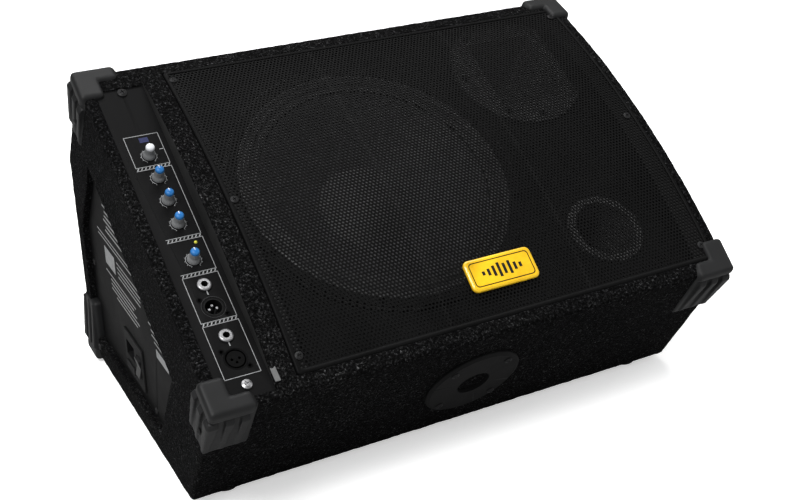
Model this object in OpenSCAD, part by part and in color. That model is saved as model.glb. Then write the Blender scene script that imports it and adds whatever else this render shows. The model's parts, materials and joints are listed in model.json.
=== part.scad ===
// Stage monitor wedge: a carpeted wooden cabinet with a crowned steel grille, a 12-inch woofer,
// a horn, a port, a row of controls beside the grille and a power amplifier in the left side.
// Origin: on the floor under the centre of the outline. +X right, +Y back, +Z up.

/* [Cabinet] */
// Width of the cabinet over the carpet
cab_w = 570; // [560:1:600]
// Slope length of the crowned top face
face_len = 398; // [396:1:404]
// Height of the front panel along its slope
front_len = 174; // [170:1:182]
// Tilt of the top face above the floor, in degrees
face_tilt = 29.7; // [29:0.1:31]
// Length of the tail panel behind the top face
tail_len = 133; // [130:1:138]
// Lean of the tail panel from the vertical, in degrees
tail_lean = 32; // [31:0.5:33]
// Height of the crown above the flat face line
face_crown = 21.7; // [19:0.1:24]
// Thickness of the wooden boards
board = 12; // [11:1:12]
// Thickness of the carpet
carpet_t = 2; // [1.5:0.5:2]
// Height of the rubber feet
foot_h = 8; // [6:1:10]

/* [Grille] */
// Left edge of the grille
grille_x0 = -201; // [-201:1:-200]
// Right edge of the grille
grille_x1 = 275; // [274:0.5:275]
// Lower edge of the grille, up the face
grille_s0 = 15; // [15:0.5:16]
// Upper edge of the grille, up the face
grille_s1 = 381; // [379:0.5:381]
// Sheet thickness of the grille
grille_t = 1.5; // [1:0.1:1.5]

/* [Drivers] */
// Sideways place of the woofer
woofer_x = -34; // [-35:1:-33]
// Place of the woofer up the face
woofer_s = 205; // [203:1:207]
// Outer radius of the woofer frame
woofer_r = 155; // [150:1:155]
// Sideways place of the horn
horn_x = 192; // [190:1:193]
// Place of the horn up the face
horn_s = 312; // [310:1:314]
// Width of the horn mouth
mouth_w = 80; // [74:1:84]
// Height of the horn mouth
mouth_h = 92; // [84:1:96]
// Sideways place of the port
port_x = 183; // [180:1:186]
// Place of the port up the face
port_s = 87; // [84:1:90]
// Inner radius of the port
port_r = 33; // [30:1:34]

/* [Controls] */
// Sideways place of the control column
panel_x = -247.8; // [-248:0.1:-247.6]
// Place of the top knob up the face
knob_s = 284.3; // [283:0.1:286]
// Distance between neighbouring knobs
knob_pitch = 28; // [27:0.5:29]
// Place of the separate lower knob up the face
low_knob_s = 157.6; // [155:0.1:160]
// Radius of a knob
knob_r = 4.6; // [4.2:0.1:5.2]
// Height of a knob over the panel
knob_h = 16; // [14:0.5:18]

/* [Fittings] */
// Inner radius of the pole socket
pole_r = 17.75; // [17.5:0.05:18]
// Depth of the pole socket
pole_depth = 70; // [50:1:75]
// Wall of the corner protectors
protector_t = 4; // [3:0.5:5]
// Radius of a rubber foot
foot_r = 16; // [13:1:18]
// Depth of the side plate below the carpet face
plate_recess = 6; // [5:0.5:7]

/* [Hidden] */
$fn = 64;

far = 900;                        // larger than the cabinet, for cutting boxes
clear = 225;                      // clear of the face, for cuts open at the top
beside = 100;                     // clear of a side, for cuts open sideways
half_w = cab_w / 2;
skin = carpet_t;                  // boards start under the carpet
inner = carpet_t + board;         // inside face of the boards
wood_x = half_w - carpet_t;       // outer face of the side boards
room_x = wood_x - board;          // inner face of the side boards
face_r = (face_len * face_len / 4 + face_crown * face_crown) / (2 * face_crown);

// Top of the crown above the flat face line at a place up the face, with the radius grown
function crown(s, grow = 0) =
    sqrt((face_r + grow) * (face_r + grow) - (s - face_len / 2) * (s - face_len / 2))
    - (face_r - face_crown);

// Side outline in Y and Z, placed so that the origin is midway from front to back
edge_y = -front_len * sin(face_tilt);
tail_y = edge_y + face_len * cos(face_tilt) + tail_len * sin(tail_lean);
guard_tip = protector_t * cos(face_tilt) + crown(-protector_t, protector_t) * sin(face_tilt);
front_y = (guard_tip - edge_y - tail_y - protector_t) / 2;
rear_y = front_y + tail_y;
p1 = [front_y + edge_y, foot_h + front_len * cos(face_tilt)];
p2 = [p1[0] + face_len * cos(face_tilt), p1[1] + face_len * sin(face_tilt)];
// Slope of the crown there, in degrees
function crown_tilt(s) = asin((face_len / 2 - s) / face_r);

// Recess for the controls, between the left side board and the divider
bay_z = 2;                        // flat carpeted top beside the controls, above the face line
recess_x0 = -274.5;
recess_x1 = -224.5;
recess_s0 = 7.5;
recess_s1 = face_len - 25;
divider_x0 = recess_x1 + carpet_t;
divider_x1 = -204.5;
strip_x1 = divider_x1 + carpet_t;
open_x1 = grille_x1 + 1;
open_s0 = grille_s0 - 0.5;
open_s1 = grille_s1 + 0.5;

baffle_z = -12;                   // front of the baffle below the face line
baffle_t = 15;
baffle_back = baffle_z - baffle_t;
woofer_hole_r = 141;
woofer_bolt_r = 148;
woofer_bolts = [for (i = [0:7]) i * 45 + 22.5];
board_drill = 60;                 // drills reaching through the baffle
horn_flange_r = 76;
horn_flat_x = 250;                // the horn flange is cut straight beside the rail
horn_flat_s = 381;
flange_t = 4;
throat_r = 12.5;
horn_depth = 62;
mouth_gap = 4;                    // clearance of the horn's hole in the baffle
port_wall = 2.5;
port_len = 90;

cone_r = 121;
cone_top = -9;
cone_neck_r = 32.6;
cone_neck_z = -62;
coil_r = 32;
coil_t = 0.6;
cap_r = 51;
cap_z = cone_top + (cone_neck_z - cone_top) * (cone_r - cap_r) / (cone_r - cone_neck_r);
magnet_top = -88;                 // front of the magnet system
plate_h = 8;                      // thickness of its steel plates
magnet_h = 18;                    // thickness of its ring magnet

panel_t = 1.5;
panel_s0 = 8;
panel_s1 = face_len - 25.5;
knob_places = [for (i = [0:3]) knob_s - i * knob_pitch, low_knob_s];
shaft_r = 3;
shaft_gap = 0.05;
male_s = 104.2;
female_s = 47.7;
jack_places = [128.8, 72.2];
male_r = 9;
female_r = 9.8;
xlr_screw = 9.9;                  // offset of a connector's two screws
socket_depth = 25.9;              // depth of the connectors behind the face
jack_bore_r = 3.2;
led_x = -239;
led_s = 176;

plate_t = 2;
plate_x = -half_w + plate_recess; // outer face of the amplifier plate
plate_in = [85, 27, 22, 58, 78];  // insets: front, bottom, rear, tail, top
inlet_y = front_y + 172;
inlet_z = 72;
rocker_at = [17, 0];
rocker_pivot_z = -2;
socket_at = [-11, 5];
fuse_at = [-11, -15];

// ---- frames of the sloping faces ----
module at_face() { translate([0, p1[0], p1[1]]) rotate([face_tilt, 0, 0]) children(); }
module at_front() { translate([0, front_y, foot_h]) rotate([90 + face_tilt, 0, 0]) children(); }
module at_tail() { translate([0, p2[0], p2[1]]) rotate([tail_lean - 90, 0, 0]) children(); }
// Left side, seen from outside: local x forward, y up, z out of the cabinet
module at_left(y, z) { translate([plate_x, y, z]) rotate([90, 0, -90]) children(); }
// A place on the face, level with the flat face line
module on_face(x, s) { at_face() translate([x, s, 0]) children(); }
// A place on the crown, square to it
module on_crown(x, s, drop) {
    at_face() translate([x, s, crown(s)]) rotate([crown_tilt(s), 0, 0])
        translate([0, 0, -drop]) children();
}

// ---- the cabinet's outline as half spaces; each inset moves one face inwards ----
module prism(x0, x1, front, bottom, rear, tail, top) {
    w = x1 - x0;
    intersection() {
        at_front() translate([x0, -far, -far]) cube([w, 2 * far, far - front]);
        translate([x0, -far, foot_h + bottom]) cube([w, 2 * far, far]);
        translate([x0, -far, -far]) cube([w, far + rear_y - rear, 2 * far]);
        at_tail() translate([x0, -far, -far]) cube([w, 2 * far, far - tail]);
        at_face() translate([x0, -far, -far]) cube([w, 2 * far, far - top]);
    }
}
module crown_bar(x0, x1, drop) {
    at_face() translate([x0, face_len / 2, face_crown - face_r]) rotate([0, 90, 0])
        cylinder(r = face_r - drop, h = x1 - x0, $fn = 360);
}
// The whole outline with every face moved in by the same amount
module outline(x0, x1, inset, flat_bay = true) {
    difference() {
        intersection() {
            prism(x0, x1, inset, inset, inset, inset, -2 * face_crown);
            crown_bar(x0, x1, inset);
        }
        if (flat_bay && x0 < recess_x1 + inset)
            face_box(-far, recess_x1 + inset, -beside, far, bay_z - inset, clear);
    }
}
// A board region: inset on the four panels, but up to the crown
module inside(x0, x1, inset, drop) {
    intersection() {
        prism(x0, x1, inset, inset, inset, inset, -2 * face_crown);
        crown_bar(x0, x1, drop);
    }
}
module face_box(x0, x1, s0, s1, z0, z1) {
    at_face() translate([x0, s0, z0]) cube([x1 - x0, s1 - s0, z1 - z0]);
}
module recess_cut(z0) { face_box(recess_x0, recess_x1, recess_s0, recess_s1, z0, clear); }
module grille_cut(z0) { face_box(strip_x1, open_x1, open_s0, open_s1, z0, clear); }
module plate_shape(x0, x1, grow) {
    prism(x0, x1, plate_in[0] - grow, plate_in[1] - grow, plate_in[2] - grow,
        plate_in[3] - grow, plate_in[4] - grow);
}
module ring(r1, r0, h) {
    difference() {
        cylinder(r = r1, h = h);
        translate([0, 0, -1]) cylinder(r = r0, h = h + 2);
    }
}
// Pan-head screw with a cross recess; head above z = 0, shank below
module pan_screw(head_r, head_h, shank_r, shank_l) {
    difference() {
        union() {
            cylinder(r = head_r, h = head_h * 0.55);
            translate([0, 0, head_h * 0.55]) cylinder(r1 = head_r, r2 = head_r * 0.55, h = head_h * 0.45);
            translate([0, 0, -shank_l]) cylinder(r = shank_r, h = shank_l);
        }
        for (a = [0, 90]) rotate([0, 0, a + 20])
            translate([-head_r * 0.5, -head_r * 0.1, head_h * 0.45])
                cube([head_r, head_r * 0.2, head_h]);
    }
}

// ---- boards ----
module side_panel_left() {
    color("burlywood") difference() {
        outline(-wood_x, -room_x, skin);
        recess_cut(-panel_t);
        plate_shape(-wood_x - 1, plate_x + plate_t, 0.5);
        plate_shape(plate_x + plate_t - 1, -room_x + 1, -8);
    }
}
module side_panel_right() {
    color("burlywood") difference() {
        outline(room_x, wood_x, skin);
        grille_cut(-9);
    }
}
module front_panel() {
    color("burlywood") difference() {
        outline(-room_x, room_x, skin);
        at_front() translate([-far, -far, -far - inner]) cube([2 * far, 2 * far, far]);
        recess_cut(-panel_t);
        pole_cut();
    }
}
bay_ledge = 14;                   // wooden ledge under the carpet above the control recess
module tail_panel() {
    color("burlywood") union() {
        difference() {
            outline(-room_x, room_x, skin);
            at_tail() translate([-far, -far, -far - inner]) cube([2 * far, 2 * far, far]);
            recess_cut(-panel_t);
        }
        face_box(-room_x, recess_x1, recess_s1, face_len - inner + 2,
            bay_z - skin - bay_ledge, bay_z - skin);
    }
}
module rear_panel() {
    color("burlywood") difference() {
        prism(-room_x, room_x, inner, skin, skin, inner, inner);
        translate([-far, -far, -far]) cube([2 * far, far + rear_y - inner, 2 * far]);
    }
}
module bottom_panel() {
    color("burlywood") difference() {
        prism(-room_x, room_x, inner, skin, inner, inner, inner);
        translate([-far, -far, foot_h + inner]) cube([2 * far, 2 * far, far]);
    }
}
module baffle_board() {
    color("burlywood") difference() {
        intersection() {
            inside(divider_x1, room_x, inner, skin);
            face_box(divider_x1, room_x, 0, face_len + 30, baffle_back, baffle_z);
        }
        on_face(woofer_x, woofer_s) translate([0, 0, -board_drill])
            cylinder(r = woofer_hole_r, h = board_drill, $fn = 180);
        on_face(horn_x, horn_s) translate([-mouth_w / 2 - mouth_gap, -mouth_h / 2 - mouth_gap, -board_drill])
            cube([mouth_w + 2 * mouth_gap, mouth_h + 2 * mouth_gap, board_drill]);
        on_face(port_x, port_s) translate([0, 0, -board_drill])
            cylinder(r = port_r + port_wall, h = board_drill);
    }
}
module bay_divider() {
    color("burlywood") inside(divider_x0, divider_x1, inner, skin);
}
rail_s0 = grille_s0 + 2;
rail_s1 = grille_s1 - 2;
rail_left = [grille_x0 + 2, -190.5];
rail_right = [252, room_x];
module grille_rails() {
    color("dimgray") for (r = [rail_left, rail_right]) intersection() {
        crown_bar(r[0], r[1], 0.5 + grille_t);
        face_box(r[0], r[1], rail_s0, rail_s1, baffle_z, clear);
    }
}

// ---- carpet ----
module carpet_left() {
    color([0.09, 0.09, 0.1]) difference() {
        outline(-half_w, -wood_x, 0);
        plate_shape(-half_w - 1, -wood_x + 1, 0.5);
    }
}
module carpet_right() {
    color([0.09, 0.09, 0.1]) outline(wood_x, half_w, 0);
}
module carpet_wrap() {
    color([0.09, 0.09, 0.1]) difference() {
        outline(-wood_x, wood_x, 0);
        outline(-wood_x - 1, wood_x + 1, skin);
        recess_cut(-panel_t);
        grille_cut(-9);
        at_front() translate([0, front_len / 2, -9]) cylinder(r = pole_plug_r + 0.5, h = 20);
    }
}
module carpet_recess() {
    linings = [[-room_x, recess_s1 - 0.2, -panel_t], [recess_x1, face_len - inner - 3, bay_z - skin],
        [divider_x1, face_len - inner - 3, clear]];
    color([0.09, 0.09, 0.1]) for (q = linings) intersection() {
        inside(q[0], q[0] + carpet_t, inner, skin);
        face_box(q[0], q[0] + carpet_t, inner + 0.5, q[1], baffle_z, q[2]);
    }
}

// ---- grille ----
grille_depth = 8;
module grille() {
    x0 = grille_x0;
    x1 = grille_x1;
    color([0.16, 0.16, 0.17]) difference() {
        intersection() {
            crown_bar(x0, x1, 0.5);
            face_box(x0, x1, grille_s0, grille_s1, -grille_depth + 2, clear);
        }
        intersection() {
            crown_bar(x0 + grille_t, x1 - grille_t, 0.5 + grille_t);
            face_box(x0 + grille_t, x1 - grille_t, grille_s0 + grille_t, grille_s1 - grille_t,
                -2 * grille_depth, clear);
        }
        for (p = grille_screw_places) on_crown(p[0], p[1], 5) cylinder(r = 2.1, h = 10, $fn = 24);
    }
}
grille_screw_places = [
    for (x = [(rail_left[0] + rail_left[1]) / 2, 265]) for (i = [0:2]) [x, 31 + i * 168.3]
];
module grille_screws() {
    color([0.1, 0.1, 0.1]) for (p = grille_screw_places)
        on_crown(p[0], p[1], 0.5) pan_screw(3.9, 1.8, 2, grille_t);
}
badge_at = [32, 60];
badge_size = [76, 34];
badge_corner = 6;
module badge() {
    color("gold") intersection() {
        difference() {
            crown_bar(badge_at[0] - badge_size[0] / 2, badge_at[0] + badge_size[0] / 2, -3);
            crown_bar(badge_at[0] - badge_size[0], badge_at[0] + badge_size[0], 0.5);
        }
        on_face(badge_at[0], badge_at[1]) for (i = [0, 1]) {
            g = [1 - i, i] * 2 * badge_corner;
            translate([-(badge_size[0] - g[0]) / 2, -(badge_size[1] - g[1]) / 2, 0])
                cube([badge_size[0] - g[0], badge_size[1] - g[1], 40]);
            for (sx = [-1, 1]) for (sy = [-1, 1])
                translate([sx * (badge_size[0] / 2 - badge_corner),
                           sy * (badge_size[1] / 2 - badge_corner), 0])
                    cylinder(r = badge_corner, h = 40);
        }
    }
}

// ---- corner protectors: thin shells over three faces at a corner ----
guard_long = 72;                  // reach down the panel
guard_wide = 44;                  // reach across the width
guard_side = 36;                  // reach along the side
guard_lip = 14;                   // width of the arms on the face
guard_arm = 21;
module guard_regions(reach) {
    t = protector_t;
    if (reach == "wide") {
        face_box(-half_w - t, -half_w + guard_wide, -t, guard_lip - t, -guard_long, 20);
        face_box(-half_w - t, -half_w + guard_wide, face_len - guard_lip + t, face_len + 40,
            -guard_long, 20);
        translate([-half_w - t, rear_y - guard_long, foot_h - t]) cube([guard_wide + t, far, guard_lip]);
        translate([-half_w - t, rear_y - guard_lip + t, foot_h - t])
            cube([guard_wide + t, far, guard_wide + t]);
    } else {
        face_box(-half_w - t, -half_w + guard_arm, -t, guard_side, -guard_long, 20);
        face_box(-half_w - t, -half_w + guard_arm, face_len - guard_side, face_len + 40, -guard_long, 20);
        translate([-half_w - t, rear_y - guard_long, foot_h - t])
            cube([guard_arm + t, far, guard_wide + t]);
    }
}
module guard_set(flat_bay) {
    difference() {
        intersection() {
            outline(-half_w - protector_t, -half_w + guard_wide, -protector_t, flat_bay);
            union() {
                guard_regions("wide");
                guard_regions("arm");
            }
        }
        outline(-half_w, far, 0, flat_bay);
        if (!flat_bay) mirror([1, 0, 0]) grille_cut(0);
        for (p = guard_screw_points) translate([-half_w - beside, p[0], p[1]]) rotate([0, 90, 0])
            cylinder(r = 2, h = beside + 1, $fn = 24);
    }
}
// Screws through each protector into the side, in the side's Y and Z
guard_screw_points = [
    [p1[0] + 12 * cos(face_tilt) + 48 * sin(face_tilt), p1[1] + 12 * sin(face_tilt) - 48 * cos(face_tilt)],
    [p2[0] - 16 * cos(face_tilt) + 48 * sin(face_tilt), p2[1] - 16 * sin(face_tilt) - 48 * cos(face_tilt)],
    [rear_y - 50, foot_h + 24]
];
module corner_protectors() {
    color([0.25, 0.25, 0.26]) {
        guard_set(true);
        mirror([1, 0, 0]) guard_set(false);
    }
}
module protector_screws() {
    color("silver") for (m = [0, 1]) mirror([m, 0, 0]) for (p = guard_screw_points)
        translate([-half_w - protector_t, p[0], p[1]]) rotate([0, -90, 0])
            pan_screw(3.6, 1.6, 1.95, protector_t);
}

// ---- feet ----
foot_places = [for (sx = [-1, 1]) for (q = [[half_w - 41, front_y + 22], [half_w - 70, rear_y - 34]])
    [sx * q[0], q[1]]];
module rubber_feet() {
    color([0.07, 0.07, 0.07]) for (p = foot_places) translate([p[0], p[1], 0]) difference() {
        cylinder(r1 = foot_r - 2, r2 = foot_r, h = foot_h);
        translate([0, 0, -1]) cylinder(r = 5, h = foot_h / 2 + 1);
        translate([0, 0, -1]) cylinder(r = 2.2, h = foot_h + 2, $fn = 24);
    }
}
module foot_screws() {
    color("silver") for (p = foot_places) translate([p[0], p[1], foot_h / 2]) mirror([0, 0, 1])
        pan_screw(4, 2, 2.1, foot_h / 2);
}

// ---- pole socket ----
pole_wall = 3;
pole_flange_r = 52;
pole_flange_t = 4;
pole_plug_r = 45.5;               // boss of the flange through the carpet
pole_screw_r = 43;
module pole_cut() {
    at_front() translate([0, front_len / 2, -30]) cylinder(r = pole_r + pole_wall, h = 60);
}
module pole_socket() {
    color([0.12, 0.12, 0.13]) at_front() translate([0, front_len / 2, 0]) difference() {
        union() {
            cylinder(r = pole_flange_r, h = pole_flange_t / 2);
            translate([0, 0, pole_flange_t / 2])
                cylinder(r1 = pole_flange_r, r2 = pole_flange_r - 4, h = pole_flange_t / 2);
            translate([0, 0, -skin]) cylinder(r = pole_plug_r, h = skin + 1);
            translate([0, 0, -pole_depth]) cylinder(r = pole_r + pole_wall, h = pole_depth);
        }
        translate([0, 0, -pole_depth + pole_wall]) cylinder(r = pole_r, h = pole_depth + 10);
        for (a = [45:90:315]) rotate([0, 0, a]) translate([pole_screw_r, 0, -10])
            cylinder(r = 2.2, h = 30, $fn = 24);
    }
}
module pole_socket_screws() {
    color([0.12, 0.12, 0.12]) at_front() translate([0, front_len / 2, pole_flange_t])
        for (a = [45:90:315]) rotate([0, 0, a]) translate([pole_screw_r, 0, 0])
            pan_screw(4, 1.8, 2.1, pole_flange_t + skin);
}

// ---- woofer ----
module at_woofer() { on_face(woofer_x, woofer_s) children(); }
spider_r = 84;
spider_z = -71;
module woofer_basket() {
    color([0.1, 0.1, 0.1]) at_woofer() difference() {
        union() {
            translate([0, 0, baffle_z]) ring(woofer_r, 138, flange_t);
            rotate_extrude($fn = 128) polygon([
                [140, baffle_z + 1], [138, baffle_z + 1], [128, -50],
                [76, magnet_top + 3], [34, magnet_top + 3],
                [34, magnet_top], [77, magnet_top], [130, -52], [140, baffle_z]
            ]);
            translate([0, 0, -86]) ring(spider_r, spider_r - 4, 86 + spider_z);
        }
        for (i = [0:5]) rotate([0, 0, i * 60 + 30]) translate([100, 0, -60])
            cube([80, 62, 34], center = true);
        for (a = woofer_bolts) rotate([0, 0, a]) translate([woofer_bolt_r, 0, -20])
            cylinder(r = 2.8, h = 20, $fn = 24);
    }
}
module woofer_gasket() {
    color([0.06, 0.06, 0.06]) at_woofer() translate([0, 0, baffle_z + flange_t]) difference() {
        ring(152.5, 142.5, 2.5);
        for (a = woofer_bolts) rotate([0, 0, a]) translate([woofer_bolt_r, 0, -1])
            cylinder(r = 4.6, h = 5, $fn = 24);
    }
}
surround_r1 = 142;
surround_t = 0.8;
surround_base = baffle_z + flange_t;
function ripple(u) = 2.6 * sin(u * 360 * 2.5) * sin(u * 180);
surround_steps = 36;
module woofer_surround() {
    color([0.05, 0.05, 0.05]) at_woofer() rotate_extrude($fn = 96) polygon(concat(
        [for (i = [0:surround_steps]) let (u = i / surround_steps)
            [cone_r - 1 + u * (surround_r1 - cone_r - 3), surround_base + 1 + surround_t + ripple(u)]],
        [[surround_r1, surround_base + surround_t], [surround_r1, surround_base]],
        [for (i = [surround_steps:-1:0]) let (u = i / surround_steps)
            [cone_r - 1 + u * (surround_r1 - cone_r - 3), surround_base + 1 + ripple(u)]]
    ));
}
module woofer_cone() {
    t = 1.2;
    color([0.07, 0.07, 0.075]) at_woofer() rotate_extrude($fn = 128) polygon([
        [cone_r - 1.5, cone_top + 0.8], [cone_r - 1.5, cone_top - t + 0.8],
        [cone_neck_r, cone_neck_z - t], [cone_neck_r, cone_neck_z]
    ]);
}
module dust_cap() {
    rise = 15;
    ball = (cap_r * cap_r + rise * rise) / (2 * rise);
    color([0.08, 0.08, 0.085]) at_woofer() translate([0, 0, cap_z + 0.2]) difference() {
        intersection() {
            translate([0, 0, rise - ball]) sphere(r = ball, $fn = 128);
            cylinder(r = cap_r + 1, h = rise + 1);
        }
        translate([0, 0, rise - ball]) sphere(r = ball - 0.9, $fn = 128);
    }
}
coil_len = 42;
module voice_coil() {
    color([0.7, 0.45, 0.2]) at_woofer() translate([0, 0, cone_neck_z - coil_len])
        ring(coil_r + coil_t / 2, coil_r - coil_t / 2, coil_len - 1);
}
spider_rim = 0.1;                 // flat share of the spider at its outer edge
function spider_wave(u) = let (v = min(u / (1 - spider_rim), 1)) 1.5 * sin(v * 360 * 5) * sin(v * 180);
module spider() {
    steps = 40;
    r0 = coil_r + 0.8;
    r1 = spider_r;
    color([0.75, 0.65, 0.4]) at_woofer() translate([0, 0, spider_z]) rotate_extrude($fn = 96) polygon(concat(
        [for (i = [0:steps]) let (u = i / steps) [r0 + u * (r1 - r0), 0.8 + spider_wave(u)]],
        [for (i = [steps:-1:0]) let (u = i / steps) [r0 + u * (r1 - r0), spider_wave(u)]]
    ));
}
gap_r = 33.2;
module woofer_top_plate() {
    color("silver") at_woofer() translate([0, 0, magnet_top - plate_h]) ring(62, gap_r, plate_h);
}
module woofer_magnet() {
    color([0.2, 0.2, 0.2]) at_woofer() translate([0, 0, magnet_top - plate_h - magnet_h])
        ring(75, 44, magnet_h);
}
module woofer_back_plate() {
    color("silver") at_woofer() difference() {
        union() {
            translate([0, 0, magnet_top - 2 * plate_h - magnet_h]) cylinder(r = 68, h = plate_h);
            translate([0, 0, magnet_top - plate_h - magnet_h]) cylinder(r = 30.8, h = plate_h + magnet_h);
        }
        translate([0, 0, magnet_top - 40]) cylinder(r = 9, h = 60);
    }
}
module woofer_terminals() {
    color("gold") at_woofer() rotate([0, 0, 30]) translate([0, -118.2, -72])
        for (x = [-12, 12]) translate([x, 0, 0]) union() {
        translate([-4, -7, 0]) cube([8, 7, 12]);
        translate([-1, -12, 3]) cube([2, 6, 6]);
    }
}
module woofer_screws() {
    color([0.1, 0.1, 0.1]) at_woofer() for (a = woofer_bolts) rotate([0, 0, a])
        translate([woofer_bolt_r, 0, baffle_z + flange_t]) pan_screw(4.2, 2, 2.7, flange_t);
}

// ---- horn ----
module at_horn() { on_face(horn_x, horn_s) children(); }
module horn_shape(grow, z_top) {
    hull() {
        translate([-mouth_w / 2 - grow, -mouth_h / 2 - grow, z_top - 1])
            cube([mouth_w + 2 * grow, mouth_h + 2 * grow, 1]);
        translate([0, 0, baffle_z - horn_depth]) cylinder(r = throat_r + grow, h = 1, $fn = 32);
    }
}
module horn_flare() {
    color([0.14, 0.14, 0.15]) at_horn() difference() {
        union() {
            intersection() {
                translate([0, 0, baffle_z]) cylinder(r = horn_flange_r, h = flange_t);
                translate([-far, -far, -far])
                    cube([far + horn_flat_x - horn_x - 0.5, far + horn_flat_s - horn_s, 2 * far]);
            }
            horn_shape(3, baffle_z + 1);
            translate([0, 0, baffle_z - horn_depth]) cylinder(r = 24, h = 5);
        }
        horn_shape(0, baffle_z + flange_t + 1);
        translate([0, 0, baffle_z - horn_depth - 1]) cylinder(r = throat_r, h = 8);
        for (a = horn_screw_angles) rotate([0, 0, a]) translate([horn_screw_r, 0, -30])
            cylinder(r = 2.4, h = 40, $fn = 24);
    }
}
horn_screw_angles = [125, 180, 235, 270];
horn_screw_r = 66;
module horn_screws() {
    color([0.1, 0.1, 0.1]) at_horn() for (a = horn_screw_angles) rotate([0, 0, a])
        translate([horn_screw_r, 0, baffle_z + flange_t]) pan_screw(3.8, 1.8, 2.3, flange_t);
}
driver_top = baffle_z - horn_depth;
module compression_driver() {
    color([0.16, 0.16, 0.16]) at_horn() difference() {
        union() {
            translate([0, 0, driver_top - 8]) cylinder(r = 26, h = 8);
            translate([0, 0, driver_top - 34]) cylinder(r = 45, h = 26);
            translate([0, 0, driver_top - 46]) cylinder(r = 34, h = 12);
        }
        translate([0, 0, driver_top - 30]) cylinder(r = throat_r, h = 40);
        translate([0, 0, driver_top - 42]) cylinder(r = 26, h = 13);
    }
}
module driver_diaphragm() {
    color("silver") at_horn() translate([0, 0, driver_top - 41.8]) difference() {
        union() {
            cylinder(r = 25.5, h = 1.5);
            cylinder(r = 16, h = 6);
        }
        translate([0, 0, -1]) cylinder(r = 15, h = 6);
    }
}
module port_tube() {
    color([0.08, 0.08, 0.08]) on_face(port_x, port_s) difference() {
        union() {
            translate([0, 0, baffle_z]) cylinder(r = port_r + port_wall + 6, h = 3);
            translate([0, 0, baffle_z - port_len]) cylinder(r = port_r + port_wall, h = port_len);
        }
        translate([0, 0, baffle_z - port_len - 1]) cylinder(r = port_r, h = port_len + 6);
    }
}

// ---- amplifier in the left side ----
module amp_plate() {
    color([0.13, 0.13, 0.14]) difference() {
        plate_shape(plate_x, plate_x + plate_t, 0);
        at_left(inlet_y, inlet_z) translate([-27.2, -22.2, -10]) cube([54.4, 44.4, 20]);
        for (p = plate_holes) translate([plate_x - 1, p[0], p[1]]) rotate([0, 90, 0])
            cylinder(r = 2.1, h = 4, $fn = 24);
    }
}
plate_edge = 8;
// Screw places near the plate's corners, in Y and Z
plate_holes = [
    [rear_y - plate_in[2] - plate_edge, foot_h + plate_in[1] + plate_edge],
    [rear_y - plate_in[2] - plate_edge, foot_h + 120],
    [inlet_y - 60, foot_h + plate_in[1] + plate_edge],
    p1 + [150 * cos(face_tilt) + (plate_in[4] + plate_edge) * sin(face_tilt),
        150 * sin(face_tilt) - (plate_in[4] + plate_edge) * cos(face_tilt)],
    p1 + [320 * cos(face_tilt) + (plate_in[4] + plate_edge) * sin(face_tilt),
        320 * sin(face_tilt) - (plate_in[4] + plate_edge) * cos(face_tilt)]
];
module amp_plate_screws() {
    color([0.1, 0.1, 0.1]) for (p = plate_holes) translate([plate_x, p[0], p[1]]) rotate([0, -90, 0])
        pan_screw(3.6, 1.6, 2, plate_t);
}
sink_h = 66;
sink_t = 6;
fin_pitch = 8.1;
module heatsink() {
    color("silver") translate([plate_x + plate_t, front_y + 200, foot_h + 106]) union() {
        cube([sink_t, 10 * fin_pitch + 3, sink_h]);
        for (i = [0:10]) translate([sink_t, i * fin_pitch, 0]) cube([20, 3, sink_h]);
    }
}
module power_transformer() {
    color([0.75, 0.5, 0.2]) translate([-262, front_y + 90, foot_h + 68]) rotate([0, 90, 0]) union() {
        rotate_extrude() translate([29, 0]) union() {
            translate([-14, 3]) square([28, 33]);
            translate([-11, 0.5]) square([22, 38]);
        }
        difference() {
            cylinder(r = 16, h = 39.5);
            translate([0, 0, -1]) cylinder(r = 3, h = 42);
        }
    }
}
board_x = -236;
can_h = 26;                       // height of the four capacitors on the amplifier board
module amp_board() {
    color("green") union() {
        translate([board_x, front_y + 140, foot_h + 88]) cube([1.6, 150, 100]);
        for (i = [0:1]) for (j = [0:1])
            translate([board_x - can_h, front_y + 156 + i * 26, foot_h + 106 + j * 28])
            rotate([0, 90, 0]) cylinder(r = 11, h = can_h + 0.5);
        translate([board_x - 8, front_y + 240, foot_h + 95]) cube([8.5, 30, 60]);
    }
}
module mains_inlet() {
    color([0.07, 0.07, 0.07]) at_left(inlet_y, inlet_z) {
        difference() {
            union() {
                translate([-30, -25, 0]) cube([60, 50, 2]);
                translate([-27, -22, -28]) cube([54, 44, 28.5]);
            }
            translate([socket_at[0] - 12.5, socket_at[1] - 8.5, -16]) cube([25, 17, 30]);
            translate([fuse_at[0] - 12, fuse_at[1] - 3.5, -24]) cube([24, 7, 40]);
            translate([rocker_at[0] - 7, rocker_at[1] - 12, -14]) cube([14, 24, 30]);
        }
        for (q = [[-7, -2.5], [7, -2.5], [0, 2.5]])
            translate([socket_at[0] + q[0] - 1, socket_at[1] + q[1] - 2, -17])
            cube([2, 4, 13]);
    }
}
module fuse_drawer() {
    color([0.1, 0.1, 0.1]) at_left(inlet_y, inlet_z) translate([fuse_at[0], fuse_at[1], 0]) difference() {
        union() {
            translate([-11.8, -3.3, -22]) cube([23.6, 6.6, 23]);
            translate([-12.6, -4, 2.05]) cube([25.2, 8, 1.4]);
            translate([-11.8, -3.3, 0]) cube([23.6, 6.6, 2.5]);
        }
        translate([-10, -2.2, -20]) cube([20, 10, 16]);
    }
}
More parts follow.
